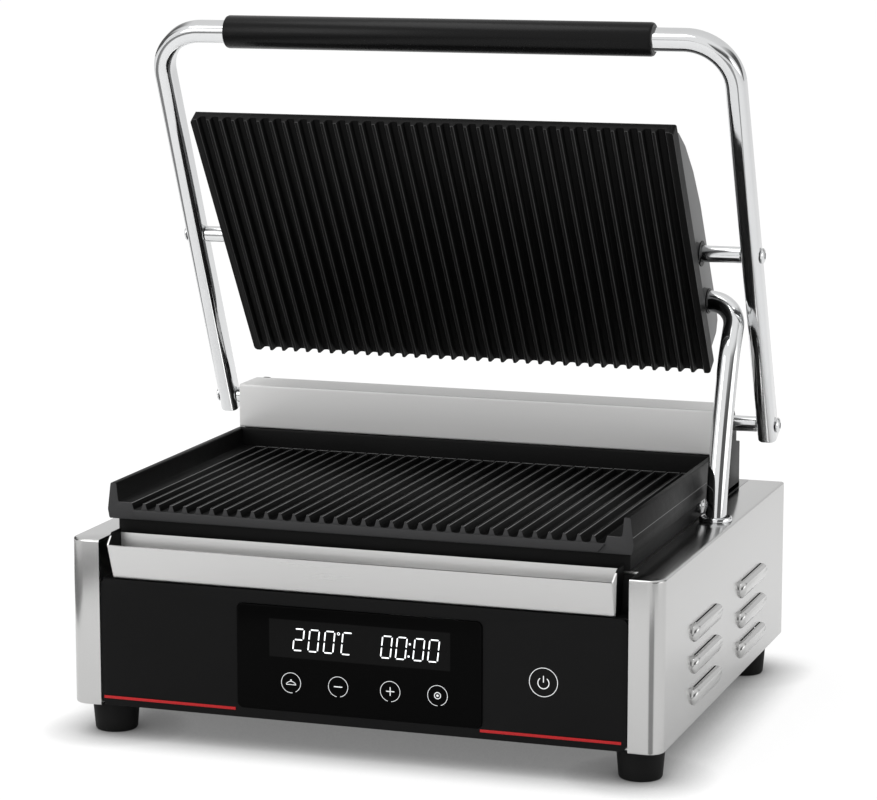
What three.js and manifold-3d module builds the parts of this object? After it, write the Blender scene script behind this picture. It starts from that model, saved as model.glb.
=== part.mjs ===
// Contact grill with a hinged, self-levelling upper plate.
// Millimetres; +X to the right, +Y to the back, +Z up. The origin lies on the floor plane, in
// the middle of the footprint. The lid is drawn fully open, as it rests.
import * as THREE from 'three';
import Module from 'manifold-3d';
import { mergeVertices } from 'three/addons/utils/BufferGeometryUtils.js';

const wasm = await Module();
wasm.setup();

const degree = Math.PI / 180;
const quarter_turn = Math.PI / 2;

// Clearances shared by neighbouring pieces.
const gap = 0.3;
const running_gap = 0.35;
const weld = 0.0005;
const punch = 5;

// Small step along a turn or a travel, for headings, and the share of a bend that eases it.
const step_share = 0.0005;
const ease_share = 1 / 3;

// Counts of facets on round pieces.
const facets = {
  bolt: 8, pin: 16, tube: 12, foot: 20, wire: 6, bend: 5, coil_side: 5, coil_turn: 8, hexagon: 6,
};

// Housing sheet metal.
const housing = {
  half_width: 215, front: -181, back: 181, underside: 23.3, top: 142.4, sheet: 1.5,
  strip_width: 23, corner_radius: 11, corner_facets: 5, top_flange: 27, bottom_flange: 36,
  front_flange_back: -157,
};
const wall_inside = housing.half_width - housing.sheet;
const strip_inner = housing.half_width - housing.strip_width;
const flange_inner = housing.half_width - housing.top_flange;
const top_under = housing.top - housing.sheet;
const floor_bottom = housing.underside + housing.sheet + gap;
const floor_top = floor_bottom + housing.sheet;

// Louvres pressed out of both side panels, three in each of two columns.
const louvre = {
  length: 75, height: 13, proud: 4.6, wall: 1.2, columns: [-100, 38], rows: [88, 65.5, 43],
  slot: 3.2, cap_facets: 2, round_facets: 8,
};

// Feet with moulded-in studs.
const foot = {
  side_in: 21.5, front: -152, back: 146, top_radius: 17, bottom_radius: 15, bevel: 1.6, stud_radius: 2.8,
  stud_top: 34,
};
const foot_x = housing.half_width - foot.side_in;
const foot_top = housing.underside - gap;

// Deck, rear panel, front panel.
const deck = { front: -156, lip: 0.9, post_hole_radius: 9, post_x: 60, post_y: -20 };
const rear = { front_face: 179.3, slot_length: 60, slot_height: 4, slot_rows: [96, 108, 120], slot_x: -70 };
const rear_screw = { side_in: 12, z: 96, head_radius: 3.6, head: 1.7, shank_radius: 1.9, shank: 7 };
const rear_screw_x = housing.half_width - rear_screw.side_in;
const panel = {
  side_gap: 0.7, bottom: 24.2, top: 115, front: -180.4, thick: 2, corner: 5, corner_facets: 4,
};
const panel_half = strip_inner - panel.side_gap;
const panel_back = panel.front + panel.thick;

// Control window, its module and the boards behind it.
const glass = {
  left: -88, right: 89.9, bottom: 31.5, top: 105.5, corner: 4, proud: 0.9, overlap: 2,
};
const display = { left: -64, right: 67.5, bottom: 69.7, top: 96.4, thick: 8, shelf: 1.2 };
const touch_board = { left: -82, right: 84, bottom: 36, top: 66, thick: 1.6, pad_radius: 8.5, pad: 3.6 };
const touch = { x: [-48.1, -13.5, 24.4, 58.5], z: 52 };
const power_pad = { side_in: 58.1, z: 67.4, radius: 12, thick: 4, base: 2.5, base_half: 16 };
const power_x = panel_half - power_pad.side_in;
const accent = {
  thick: 0.35, height: 2, z: 30, left_margin: 1.8, right_margin: 3.7, glass_left: -1.8, glass_right: -1.3,
};

// Boards and terminals on the floor plate.
const relay_board = {
  left: 20, right: 120, front: 30, back: 110, stand: 6, thick: 1.6, stand_radius: 3, inset: 7,
};
const relay = { count: 3, pitch: 29, first: 34, front: 45, width: 19, depth: 26, height: 17 };
const terminal = {
  left: -110, right: -50, front: 105, back: 127, base: 3, height: 19, bay_count: 5, wall: 2, bay_depth: 9,
};

// Grease tray: a folded trough with flared ends, and the black channel that it slides in.
const tray = {
  bottom: 115.4, sheet: 1.1, front_low: -179, back_low: -165, end_low_in: 9.8, end_top_in: 4.6,
  front_top: -187.6, front_top_z: 140.5, back_top: -162.6, back_top_z: 145.2, end_top_z: 148, end_fold: 2.2,
};
const channel = { floor: 113.6, sheet: 1.5, front: -178, back: -157.6, side_gap: 1.2, top: 140.5 };
const channel_half = strip_inner - channel.side_gap;
const rail = { half_width: 6, end_in: 40.8, foot_bottom: floor_top + gap, front: -176, back: -160, web: 2 };

// Skirt, lower cooking plate, its heating element and insulation.
const lower = {
  side_gap: 0.8, front: -166.6, back: 70.5, bottom: 155.6, ridge_top: 167.6, rim_top: 181, rim_in: 2.4,
  flare_z: 162.5,
  base_in: 1.2, rim_wall_in: 7.1, wall_foot_in: 8.6, rear_wall: 64.6, apron_out: 2.4, apron_low: 156.6,
  apron_high: 162.4, apron_top_in: 19.7, apron_bottom_in: 24.2,
};
const lower_half = strip_inner - lower.side_gap;
const lower_base = lower_half - lower.base_in;
const rim_outer = lower_half - lower.rim_in;
const rim_inner = lower_half - lower.rim_wall_in;
const wall_foot = lower_half - lower.wall_foot_in;
const groove = {
  shelf: 9.2, count: 34, depth: 5.1, peak_half: 0.5, flank: 1.7, root_half: 1.6, root_rise: 0.9,
};
const skirt = { side_in: 4.7, front: -158, back: 69, bottom: housing.top + gap, wall: 2 };
const skirt_half = lower_half - skirt.side_in;
const insulation = {
  side_clear: 16.5, front_clear: 11, back_clear: 7, bottom: housing.top + gap, thick: 4.2,
};
const mat_half = skirt_half - skirt.wall - insulation.side_clear;
const mat_front = skirt.front + skirt.wall + insulation.front_clear;
const mat_back = skirt.back - skirt.wall - insulation.back_clear;
const element = {
  radius: 3.6, bend: 16, side_clear: 28, front_clear: 20, back_clear: 25, pass_count: 6, terminal_x: 24,
  terminal_y: 52,
};
const element_half = mat_half - element.side_clear;
const sensor = { radius: 3, length: 46, end_in: 50, y: -45 };
const sensor_x = element_half - sensor.end_in;
const side_bolt = { y: 27, z: 153.2, radius: 6.8, seat_in: 4.4, clear: 0.6, boss_depth: 3 };
const bolt_seat = lower_half - side_bolt.seat_in;

// Hinge line, brackets, rear cover.
const hinge = { y: 117, z: 197.5 };
const cover = {
  front: 67.5, back: 103.5, bottom: lower.rim_top + gap, top: 214.5, sheet: 1.5, corner: 5, corner_facets: 4,
};
const cover_inside = cover.sheet + gap;
const bracket = {
  side_in: 4.2, nose_back: 100, leg_front: 96, leg_back: 140, step_back: 151, step_z: 178,
  foot_bottom: housing.top + gap, boss_radius: 15, flange_width: 26, sheet: 4, ear_width: 14, ear: 2,
  screw_in: 12, screw_y: 128,
};
const bracket_outer = lower_half - bracket.side_in;
const bracket_inner = bracket_outer - bracket.sheet;
const bracket_screw_x = bracket_inner - bracket.screw_in;
const floor_sheet_back = bracket.leg_front - gap;
const bracket_screw = { head_radius: 4.5, head: 2.6, shank_radius: 2.4, shank: 8 };
const shaft = { radius: 5.8, bolt_hole: 2.9, bolt_depth: 22 };
const bush = { outer: 8.5, flange_radius: 11, flange: 1.6, clear: 0.3 };
const spring = { wire: 1.6, mean_radius: 10.2, turn_count: 7, pitch: 4.4, end_gap: 5, tail: 18 };
const spring_tab = { reach: 9, half_width: 3.2, thick: 4 };

// Lid arms: a bent, hollow, rounded rectangular tube with a sleeve for a grip.
const lid = { rest_angle: 24, arm_reach: 318, foot_reach: 11, corner_radius: 34, pivot_reach: 146 };
const frame_tube = { across: 14, deep: 17, wall: 1.6, round: 5, round_facets: 3, overhang: 7.7 };
const arm_outer = housing.half_width + frame_tube.overhang;
const arm_x = arm_outer - frame_tube.across / 2;
const arm_inner = arm_outer - frame_tube.across;
const grip = { corner_gap: 21.4, radius: 12, bore_side: 0.35, end_round: 2.2, facets: 24 };
const grip_half = arm_x - lid.corner_radius - grip.corner_gap;
const arm_bolt = {
  head_radius: 5.8, head: 2.4, dome: 0.9, shank_radius: 2.6, reach: 16, socket_radius: 2.3, socket: 1.5,
};

// Upper cooking plate, measured from its pivot: toward the hinge side and away from the ridges.
// A ribbed slab with a raised pad, which carries lugs for the pins and posts for the hood.
const upper = {
  side_gap: 5, overlap: 2.5, tips: -28, top: -16.5, ahead: -131, behind: 91, corner: 3, corner_facets: 2,
  pad_gap: 1.5, pad_front: -121, pad_back: 87, pad_top: -14.5, pocket_in: 42, hub_length: 30,
  hub_bore_depth: 20, pin_lug: 10.5, conduit_lug: 12.2, nose_wall: 1.5, post_radius: 5.5, post_y: [-7.5, 62],
};
const upper_half = bracket_inner - upper.side_gap;
const slab_half = upper_half + upper.overlap;
const pocket_half = upper_half - upper.pocket_in;
const upper_groove = {
  shelf: 1.6, count: 36, depth: 4.2, peak_half: 0.7, flank: 2, root_half: 1.6, root_rise: 0.6,
};

// Sheet hood over the upper plate: its side outline from the front edge to the rear one.
const hood = {
  side_in: 3, sheet: 1.8, front: -127, slope: [[-122, -9], [-106, 4.5], [-88, 14], [-58, 23]],
  crest: 27.6, crest_front: -24, crest_back: 72, shoulder: [85, 25.6], rear_top: 17,
};
const hood_half = upper_half - hood.side_in;
const hood_inner = hood_half - hood.sheet;
const pad_half = hood_inner - upper.pad_gap;
const hood_bottom = upper.top + gap;
const cap_screw = { head_radius: 3.4, head: 1.6, shank_radius: 1.6, shank: 8 };
const upper_element = { radius: 3.6, bend: 12, side_clear: 12, front: -88, back: 4, pass_count: 5 };
const thermostat = { x: 60, y: 12, width: 34, depth: 15, height: 12 };
const pin = { radius: 6, reach: 18 };
const clip = { radius: 9.4, thick: 0.9, split: 4 };

// Cable conduit between the upper plate and the deck, turning with the lid.
const travel = { lid_angle: 66, plate_angle: 57, conduit_angle: 39.6 };
const conduit = {
  arm_gap: 8.6, radius: 7.7, wall: 1.3, elbow: 20, reach: 14, entry_behind: 44, entry_rise: -1,
  entry_y: 23.7, spare_angle: 5, station_count: 14, blend_count: 4,
};
const conduit_x = arm_inner - conduit.arm_gap;
const ring = { outer: 12, bore: 9.7, flange: 3, edge: 0.8, neck_outer: 10.9, neck_bottom: 139 };
const gland = {
  x: -120, z: 52, hole: 9, body_radius: 11, body: 4.5, dome_radius: 7.5, dome: 3.6, bore: 4, nut_radius: 13,
  nut: 5, thread_radius: 8.6,
};

// Materials.
const finish = (color, roughness, metalness) => new THREE.MeshStandardMaterial(
  { color, roughness, metalness },
);
const material = {
  brushed: finish(0xc4c6c8, 0.38, 1),
  chrome: finish(0xe4e6e8, 0.08, 1),
  iron: finish(0x1c1d1e, 0.62, 0.35),
  panel: finish(0x1b1b1c, 0.5, 0),
  glass: finish(0x050506, 0.06, 0),
  plastic: finish(0x18191a, 0.55, 0),
  rubber: finish(0x1a1b1c, 0.8, 0),
  grip: finish(0x17181a, 0.42, 0),
  red: finish(0xb01618, 0.45, 0),
  board: finish(0x1d5a36, 0.55, 0),
  screen: finish(0x15171a, 0.2, 0),
  zinc: finish(0xa9adb0, 0.35, 1),
  sheath: finish(0x6d6a66, 0.45, 1),
  mineral: finish(0xcfc6b4, 0.9, 0),
  brass: finish(0xb08d4a, 0.35, 1),
  ceramic: finish(0xe6e2d8, 0.5, 0),
  spring: finish(0x55585c, 0.35, 1),
};

// A geometry as a solid that can be joined and cut.
function toSolid(geometry) {
  const bare = geometry.clone();
  bare.deleteAttribute('normal');
  bare.deleteAttribute('uv');
  const merged = mergeVertices(bare, weld);
  const corners = [];
  const index = merged.index.array;
  for (let i = 0; i < index.length; i += 3) {
    const [a, b, c] = [index[i], index[i + 1], index[i + 2]];
    if (a !== b && b !== c && c !== a) corners.push(a, b, c);
  }
  const vertProperties = new Float32Array(merged.attributes.position.array);
  return new wasm.Manifold(
    new wasm.Mesh({ numProp: 3, vertProperties, triVerts: new Uint32Array(corners) }),
  );
}

// A solid as a flat-shaded geometry.
function toGeometry(solid) {
  const mesh = solid.getMesh();
  const geometry = new THREE.BufferGeometry();
  geometry.setAttribute('position', new THREE.BufferAttribute(new Float32Array(mesh.vertProperties), 3));
  geometry.setIndex(new THREE.BufferAttribute(new Uint32Array(mesh.triVerts), 1));
  geometry.computeVertexNormals();
  return geometry;
}

const union = (list) => list.reduce((whole, piece) => whole.add(piece));
const cut = (solid, tools) => tools.reduce((left, tool) => left.subtract(tool), solid);
const mirrored = (solid) => solid.mirror([1, 0, 0]);
const bothSides = (solid) => solid.add(mirrored(solid));
const turned = (solid, angle) => solid.rotate([angle, 0, 0]);

const outline = (points) => new THREE.Shape(points.map(([x, y]) => new THREE.Vector2(x, y)));

// Extrusions along each axis between two stations.
function prism(points, low, high, basis) {
  const geometry = new THREE.ExtrudeGeometry(
    outline(points), { depth: high - low, bevelEnabled: false, steps: 1 },
  );
  geometry.applyMatrix4(basis);
  return toSolid(geometry);
}
const axes = (x, y, z) => new THREE.Matrix4().makeBasis(
  new THREE.Vector3(...x), new THREE.Vector3(...y), new THREE.Vector3(...z),
);
const prismX = (points, low, high) => prism(
  points, low, high, axes([0, 1, 0], [0, 0, 1], [1, 0, 0]),
).translate([low, 0, 0]);
const prismY = (points, low, high) => prism(
  points, low, high, axes([1, 0, 0], [0, 0, 1], [0, -1, 0]),
).translate([0, high, 0]);
const prismZ = (points, low, high) => prism(
  points, low, high, axes([1, 0, 0], [0, 1, 0], [0, 0, 1]),
).translate([0, 0, low]);

const box = (x0, x1, y0, y1, z0, z1) => {
  const geometry = new THREE.BoxGeometry(x1 - x0, y1 - y0, z1 - z0);
  return toSolid(geometry.translate((x0 + x1) / 2, (y0 + y1) / 2, (z0 + z1) / 2));
};

// A turned solid from a profile of [radius, height] pairs, its axis along X, Y or Z.
function lathe(profile, sides) {
  const geometry = new THREE.LatheGeometry(profile.map(([r, h]) => new THREE.Vector2(r, h)), sides);
  return toSolid(geometry.rotateX(Math.PI / 2));
}
const turnedZ = (profile, sides, x, y) => lathe(profile, sides).translate([x, y, 0]);
const turnedX = (profile, sides, y, z) => lathe(profile, sides).rotate([0, 90, 0]).translate([0, y, z]);
const turnedY = (profile, sides, x, z) => lathe(profile, sides).rotate([-90, 0, 0]).translate([x, 0, z]);
const disc = (radius, low, high) => [[0, low], [radius, low], [radius, high], [0, high]];
const rodX = (radius, low, high, y, z, sides = facets.pin) => turnedX(disc(radius, low, high), sides, y, z);
const rodY = (radius, low, high, x, z, sides = facets.pin) => turnedY(disc(radius, low, high), sides, x, z);
const rodZ = (radius, low, high, x, y, sides = facets.pin) => turnedZ(disc(radius, low, high), sides, x, y);

// A rectangle with rounded corners, as points.
function roundedRectangle(x0, x1, y0, y1, radius, sides) {
  const corners = [
    [x1 - radius, y0 + radius, -1], [x1 - radius, y1 - radius, 0], [x0 + radius, y1 - radius, 1],
    [x0 + radius, y0 + radius, 2],
  ];
  return corners.flatMap(([cx, cy, turns]) => Array.from({ length: sides + 1 }, (_, i) => {
    const angle = (turns + i / sides) * quarter_turn;
    return [cx + radius * Math.cos(angle), cy + radius * Math.sin(angle)];
  }));
}

// A path that places one cross-section at each of its stations.
class StationPath extends THREE.Curve {
  constructor(stations) {
    super();
    this.stations = stations;
  }

  station(u) {
    return this.stations[Math.round(u * (this.stations.length - 1))];
  }

  getPointAt(u) {
    return this.station(u).point.clone();
  }

  getTangentAt(u) {
    return this.station(u).tangent.clone();
  }
}

function alongStations(stations, shape) {
  const settings = {
    steps: stations.length - 1, bevelEnabled: false, extrudePath: new StationPath(stations),
  };
  return toSolid(new THREE.ExtrudeGeometry(shape, settings));
}

// Straight runs joined by round bends; one station at each end of a run, several in a bend.
function bentRoute(points, radius, sides) {
  const at = points.map((p) => new THREE.Vector3(...p));
  const stations = [];
  const heading = (i) => at[i + 1].clone().sub(at[i]).normalize();
  stations.push({ point: at[0], tangent: heading(0) });
  for (let i = 1; i < at.length - 1; i += 1) {
    const before = heading(i - 1);
    const after = heading(i);
    const turn = before.angleTo(after);
    const setback = radius * Math.tan(turn / 2);
    const axis = before.clone().cross(after).normalize();
    const inward = axis.clone().cross(before);
    const start = at[i].clone().addScaledVector(before, -setback);
    const centre = start.clone().addScaledVector(inward, radius);
    for (let k = 0; k <= sides; k += 1) {
      const angle = turn * k / sides;
      const spoke = start.clone().sub(centre).applyAxisAngle(axis, angle);
      stations.push(
        { point: centre.clone().add(spoke), tangent: before.clone().applyAxisAngle(axis, angle) },
      );
    }
  }
  stations.push({ point: at[at.length - 1], tangent: heading(at.length - 2) });
  return stations;
}

const circle = (radius, sides) => outline(Array.from({ length: sides }, (_, i) => {
  const angle = 2 * Math.PI * i / sides;
  return [radius * Math.cos(angle), radius * Math.sin(angle)];
}));

const grill = new THREE.Group();
function add(name, solid, look) {
  const mesh = new THREE.Mesh(toGeometry(solid), look);
  mesh.name = name;
  grill.add(mesh);
}

// Side panel, right hand: wall, wrapped front strip, top and bottom flanges, louvres.
function panelPlan(inset, inner) {
  const side = housing.half_width - inset;
  const front = housing.front + inset;
  const radius = housing.corner_radius - inset;
  const arc = Array.from({ length: housing.corner_facets + 1 }, (_, i) => {
    const angle = (i / housing.corner_facets - 1) * quarter_turn;
    return [side - radius + radius * Math.cos(angle), front + radius + radius * Math.sin(angle)];
  });
  return [[inner, front], ...arc, [side, housing.back]];
}

function louvreShell(y, z) {
  const shell = (shrink, length) => {
    const radius = louvre.height / 2 - shrink;
    const capsule = new THREE.CapsuleGeometry(radius, length, louvre.cap_facets, louvre.round_facets);
    capsule.scale((louvre.proud - shrink) / radius, 1, 1);
    return toSolid(capsule).translate([0, y + louvre.length / 2, z]);
  };
  const straight = louvre.length - louvre.height;
  return { outer: shell(0, straight), inner: shell(louvre.wall, straight) };
}

function sidePanel() {
  const wall_plan = [...panelPlan(0, strip_inner), ...panelPlan(housing.sheet, strip_inner).reverse()];
  const wall = prismZ(wall_plan, housing.underside, housing.top);
  const top_plan = [
    ...panelPlan(0, strip_inner), [flange_inner, housing.back], [flange_inner, housing.front_flange_back],
    [strip_inner, housing.front_flange_back],
  ];
  const bottom_inner = housing.half_width - housing.bottom_flange;
  const bottom_plan = [
    ...panelPlan(0, strip_inner), [bottom_inner, housing.back], [bottom_inner, panel_back + gap],
    [strip_inner, panel_back + gap],
  ];
  const top = prismZ(top_plan, top_under, housing.top);
  const bottom = prismZ(bottom_plan, housing.underside, housing.underside + housing.sheet);
  let whole = union([wall, top, bottom]);
  const pressed = [];
  louvre.columns.forEach((y) => louvre.rows.forEach((z) => {
    const { outer, inner } = louvreShell(y, z);
    const toWall = (solid) => solid.translate([housing.half_width, 0, 0]);
    const slot_z = z - louvre.height / 2;
    const slot = box(
      housing.half_width, housing.half_width + louvre.height, y, y + louvre.length, slot_z,
      slot_z + louvre.slot,
    );
    const outside = box(
      wall_inside, housing.half_width + louvre.height, y, y + louvre.length, slot_z,
      slot_z + louvre.height,
    );
    pressed.push({ bump: toWall(outer).intersect(outside), hollow: toWall(inner).add(slot) });
  }));
  pressed.forEach(({ bump, hollow }) => {
    whole = whole.add(bump).subtract(hollow);
  });
  return whole;
}
const right_panel = cut(sidePanel(), [
  rodZ(ring.neck_outer + gap, top_under - punch, housing.top + punch, conduit_x, conduit.entry_y),
]);
const foot_places = [[-1, foot.front], [1, foot.front], [-1, foot.back], [1, foot.back]];
const foot_holes = foot_places.map(([side, y]) => rodZ(
  foot.stud_radius + gap, housing.underside - punch, floor_top + punch, side * foot_x, y, facets.bolt,
));
const rear_screw_holes = [-1, 1].map((side) => rodY(
  rear_screw.shank_radius + gap, rear.front_face - punch, housing.back + punch, side * rear_screw_x,
  rear_screw.z, facets.bolt,
));
add('side_panel_left', cut(mirrored(sidePanel()), foot_holes), material.brushed);
add('side_panel_right', cut(right_panel, foot_holes), material.brushed);

// Floor plate on the bottom flanges.
const floor_half = wall_inside - gap;
const floor_plate = box(
  -floor_half, floor_half, panel_back + gap, rear.front_face - gap, floor_bottom, floor_top,
);
const strip_clear = [-1, 1].map((side) => box(
  Math.min(
    side * strip_inner, side * housing.half_width,
  ) - gap, Math.max(side * strip_inner, side * housing.half_width) + gap,
  housing.front, housing.front + housing.corner_radius + gap, floor_bottom - punch, floor_top + punch,
));
const floor_vents = [-1, 1].map((side) => rodZ(
  deck.post_hole_radius, floor_bottom - punch, floor_top + punch, side * deck.post_x, deck.post_y,
));
add('floor_plate', cut(floor_plate, [...foot_holes, ...strip_clear, ...floor_vents]), material.zinc);

// Rubber feet, each moulded round a stud that passes up through the floor plate.
foot_places.forEach(([side, y], i) => {
  const profile = [
    [0, 0], [foot.bottom_radius - foot.bevel, 0], [foot.bottom_radius, foot.bevel],
    [foot.top_radius, foot_top],
    [foot.stud_radius, foot_top], [foot.stud_radius, foot.stud_top], [0, foot.stud_top],
  ];
  const corner = `${i < 2 ? 'front' : 'rear'}_${side < 0 ? 'left' : 'right'}`;
  add(`foot_${corner}`, turnedZ(profile, facets.foot, side * foot_x, y), material.rubber);
});

// Deck with lips tucked under the side flanges.
const deck_half = flange_inner - gap;
const lip_top = top_under - gap;
const deck_sheet = union([
  box(-deck_half, deck_half, deck.front, housing.back, top_under, housing.top),
  bothSides(
    box(
      deck_half - housing.sheet, flange_inner + deck.lip, deck.front, rear.front_face - gap,
      lip_top - housing.sheet, lip_top,
    ),
  ),
  bothSides(
    box(
      deck_half - housing.sheet, deck_half, deck.front, rear.front_face - gap, lip_top - housing.sheet,
      housing.top,
    ),
  ),
]);
const deck_holes = [-1, 1].map((side) => rodZ(
  deck.post_hole_radius, top_under - punch, housing.top + punch, side * deck.post_x, deck.post_y,
));
const bracket_holes = [-1, 1].map((side) => rodZ(
  bracket_screw.shank_radius + gap, top_under - punch, bracket.foot_bottom + bracket.sheet + punch,
  side * bracket_screw_x, bracket.screw_y, facets.bolt,
));
add('deck', cut(deck_sheet, [...deck_holes, ...bracket_holes]), material.brushed);

// Rear panel with vent slots and the cable gland hole.
const rear_back = rear.front_face + housing.sheet;
const vents = rear.slot_rows.flatMap((z) => [-1, 1].map((side) => box(
  side * rear.slot_x - rear.slot_length / 2, side * rear.slot_x + rear.slot_length / 2,
  rear.front_face - punch, rear_back + punch, z, z + rear.slot_height,
)));
const rear_plate = box(-floor_half, floor_half, rear.front_face, rear_back, floor_top + gap, lip_top);
const gland_hole = rodY(gland.hole, rear.front_face - punch, rear_back + punch, gland.x, gland.z);
add('rear_panel', cut(rear_plate, [...vents, gland_hole, ...rear_screw_holes]), material.brushed);
const rear_head = rear_back + gap + rear_screw.head;
const rear_screw_solid = union([
  rodY(rear_screw.head_radius, rear_back + gap, rear_head, rear_screw_x, rear_screw.z, facets.bolt),
  rodY(
    rear_screw.shank_radius, rear_back - rear_screw.shank, rear_head, rear_screw_x, rear_screw.z,
    facets.bolt,
  ),
]);
add('rear_screw_right', rear_screw_solid, material.zinc);
add('rear_screw_left', mirrored(rear_screw_solid), material.zinc);
const gland_front = rear_back + gap;
const gland_profile = [
  [gland.bore, rear.front_face - gap - gland.nut], [gland.thread_radius, rear.front_face - gap - gland.nut],
  [gland.thread_radius, gland_front], [gland.body_radius, gland_front],
  [gland.body_radius, gland_front + gland.body],
  [gland.dome_radius, gland_front + gland.body + gland.dome],
  [gland.bore, gland_front + gland.body + gland.dome],
  [gland.bore, rear.front_face - gap - gland.nut],
];
const gland_nut = cut(
  rodY(
    gland.nut_radius, rear.front_face - gap - gland.nut, rear.front_face - gap, gland.x, gland.z,
    facets.hexagon,
  ),
  [
    rodY(
      gland.thread_radius, rear.front_face - gap - gland.nut - punch, rear.front_face + punch, gland.x,
      gland.z,
    ),
  ],
);
add('cord_gland', turnedY(gland_profile, facets.pin, gland.x, gland.z).add(gland_nut), material.plastic);

// Front panel with the window for the control glass, and its strips of red trim.
const panel_shape = roundedRectangle(
  -panel_half, panel_half, panel.bottom, panel.top, panel.corner, panel.corner_facets,
);
const glass_front = panel.front - glass.proud;
const glass_shape = roundedRectangle(
  glass.left, glass.right, glass.bottom, glass.top, glass.corner, panel.corner_facets,
);
const window_shape = roundedRectangle(
  glass.left - gap, glass.right + gap, glass.bottom - gap, glass.top + gap, glass.corner + gap,
  panel.corner_facets,
);
const front_panel = cut(
  prismY(panel_shape, panel.front, panel_back),
  [prismY(window_shape, panel.front - punch, panel_back + punch)],
);
const window_ledge = cut(
  prismY(roundedRectangle(
    glass.left - glass.overlap, glass.right + glass.overlap, glass.bottom - glass.overlap,
    glass.top + glass.overlap,
    glass.corner, panel.corner_facets,
  ), panel_back - weld, panel_back + panel.thick),
  [prismY(roundedRectangle(
    glass.left + glass.overlap, glass.right - glass.overlap, glass.bottom + glass.overlap,
    glass.top - glass.overlap,
    glass.corner, panel.corner_facets,
  ), panel_back - punch, panel_back + panel.thick + punch)],
);
add('front_panel', front_panel.add(window_ledge), material.panel);
const glass_back = panel_back - gap;
add('control_glass', prismY(glass_shape, glass_front, glass_back), material.glass);
const accent_back = panel.front - gap / 2;
const stripe = ([x0, x1]) => box(
  x0, x1, accent_back - accent.thick, accent_back, accent.z - accent.height / 2,
  accent.z + accent.height / 2,
);
add(
  'accent_line_left', stripe([accent.left_margin - panel_half, glass.left + accent.glass_left]),
  material.red,
);
add(
  'accent_line_right', stripe([glass.right + accent.glass_right, panel_half - accent.right_margin]),
  material.red,
);

// Display module and touch board behind the glass, power pad behind the panel.
const module_front = glass_back + gap;
const display_body = box(
  display.left, display.right, module_front, module_front + display.thick, display.bottom, display.top,
);
const digit_bay = box(
  display.left + display.shelf, display.right - display.shelf, module_front - punch,
  module_front + display.shelf,
  display.bottom + display.shelf, display.top - display.shelf,
);
add('display_module', cut(display_body, [digit_bay]), material.screen);
const pads = touch.x.map(
  (x) => rodY(touch_board.pad_radius, module_front, module_front + touch_board.pad, x, touch.z),
);
const touch_back = module_front + touch_board.pad;
const touch_plate = box(
  touch_board.left, touch_board.right, touch_back, touch_back + touch_board.thick, touch_board.bottom,
  touch_board.top,
);
add('touch_board', union([touch_plate, ...pads]), material.board);
const power_front = panel_back + gap;
add('power_pad', union([
  rodY(power_pad.radius, power_front, power_front + power_pad.thick, power_x, power_pad.z),
  box(
    power_x - power_pad.base_half, power_x + power_pad.base_half, power_front + power_pad.thick,
    power_front + power_pad.thick + power_pad.base, power_pad.z - power_pad.base_half,
    power_pad.z + power_pad.base_half,
  ),
]), material.board);

// Relay board on standoffs and the mains terminal block.
const board_bottom = floor_top + gap + relay_board.stand;
const stand_places = [relay_board.left + relay_board.inset, relay_board.right - relay_board.inset].flatMap(
  (x) => [relay_board.front + relay_board.inset, relay_board.back - relay_board.inset].map((y) => [x, y]),
);
const board_solid = union([
  box(
    relay_board.left, relay_board.right, relay_board.front, relay_board.back, board_bottom,
    board_bottom + relay_board.thick,
  ),
  ...stand_places.map(
    ([x, y]) => rodZ(relay_board.stand_radius, floor_top + gap, board_bottom, x, y, facets.bolt),
  ),
]);
const relay_bottom = board_bottom + relay_board.thick;
const relays = Array.from({ length: relay.count }, (_, i) => {
  const left = relay.first + i * relay.pitch;
  return box(
    left, left + relay.width, relay.front, relay.front + relay.depth, relay_bottom,
    relay_bottom + relay.height,
  );
});
add('relay_board', union([board_solid, ...relays]), material.board);
const terminal_bottom = floor_top + gap;
const bays_length = terminal.right - terminal.left - terminal.wall;
const bay_width = bays_length / terminal.bay_count - terminal.wall;
const bays = Array.from({ length: terminal.bay_count }, (_, i) => {
  const left = terminal.left + terminal.wall + i * (bay_width + terminal.wall);
  return box(
    left, left + bay_width, terminal.front - punch, terminal.front + terminal.bay_depth,
    terminal_bottom + terminal.base, terminal_bottom + terminal.height + punch,
  );
});
const terminal_block = box(
  terminal.left, terminal.right, terminal.front, terminal.back, terminal_bottom,
  terminal_bottom + terminal.height,
);
add('terminal_block', cut(terminal_block, bays), material.ceramic);

// Tray channel on two posts, and the grease tray in it.
const leg = (side) => {
  const [left, right] = [
    side * (channel_half - rail.end_in) - rail.half_width,
    side * (channel_half - rail.end_in) + rail.half_width,
  ];
  return union([
    box(left, right, rail.front, rail.back, rail.foot_bottom, rail.foot_bottom + rail.web),
    box(left, right, rail.back - rail.web, rail.back, rail.foot_bottom, channel.floor),
  ]);
};
const channel_floor_top = channel.floor + channel.sheet;
add('tray_channel', union([
  box(-channel_half, channel_half, channel.front, channel.back, channel.floor, channel_floor_top),
  box(-channel_half, channel_half, channel.back - channel.sheet, channel.back, channel.floor, channel.top),
  leg(-1), leg(1),
]), material.panel);

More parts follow.
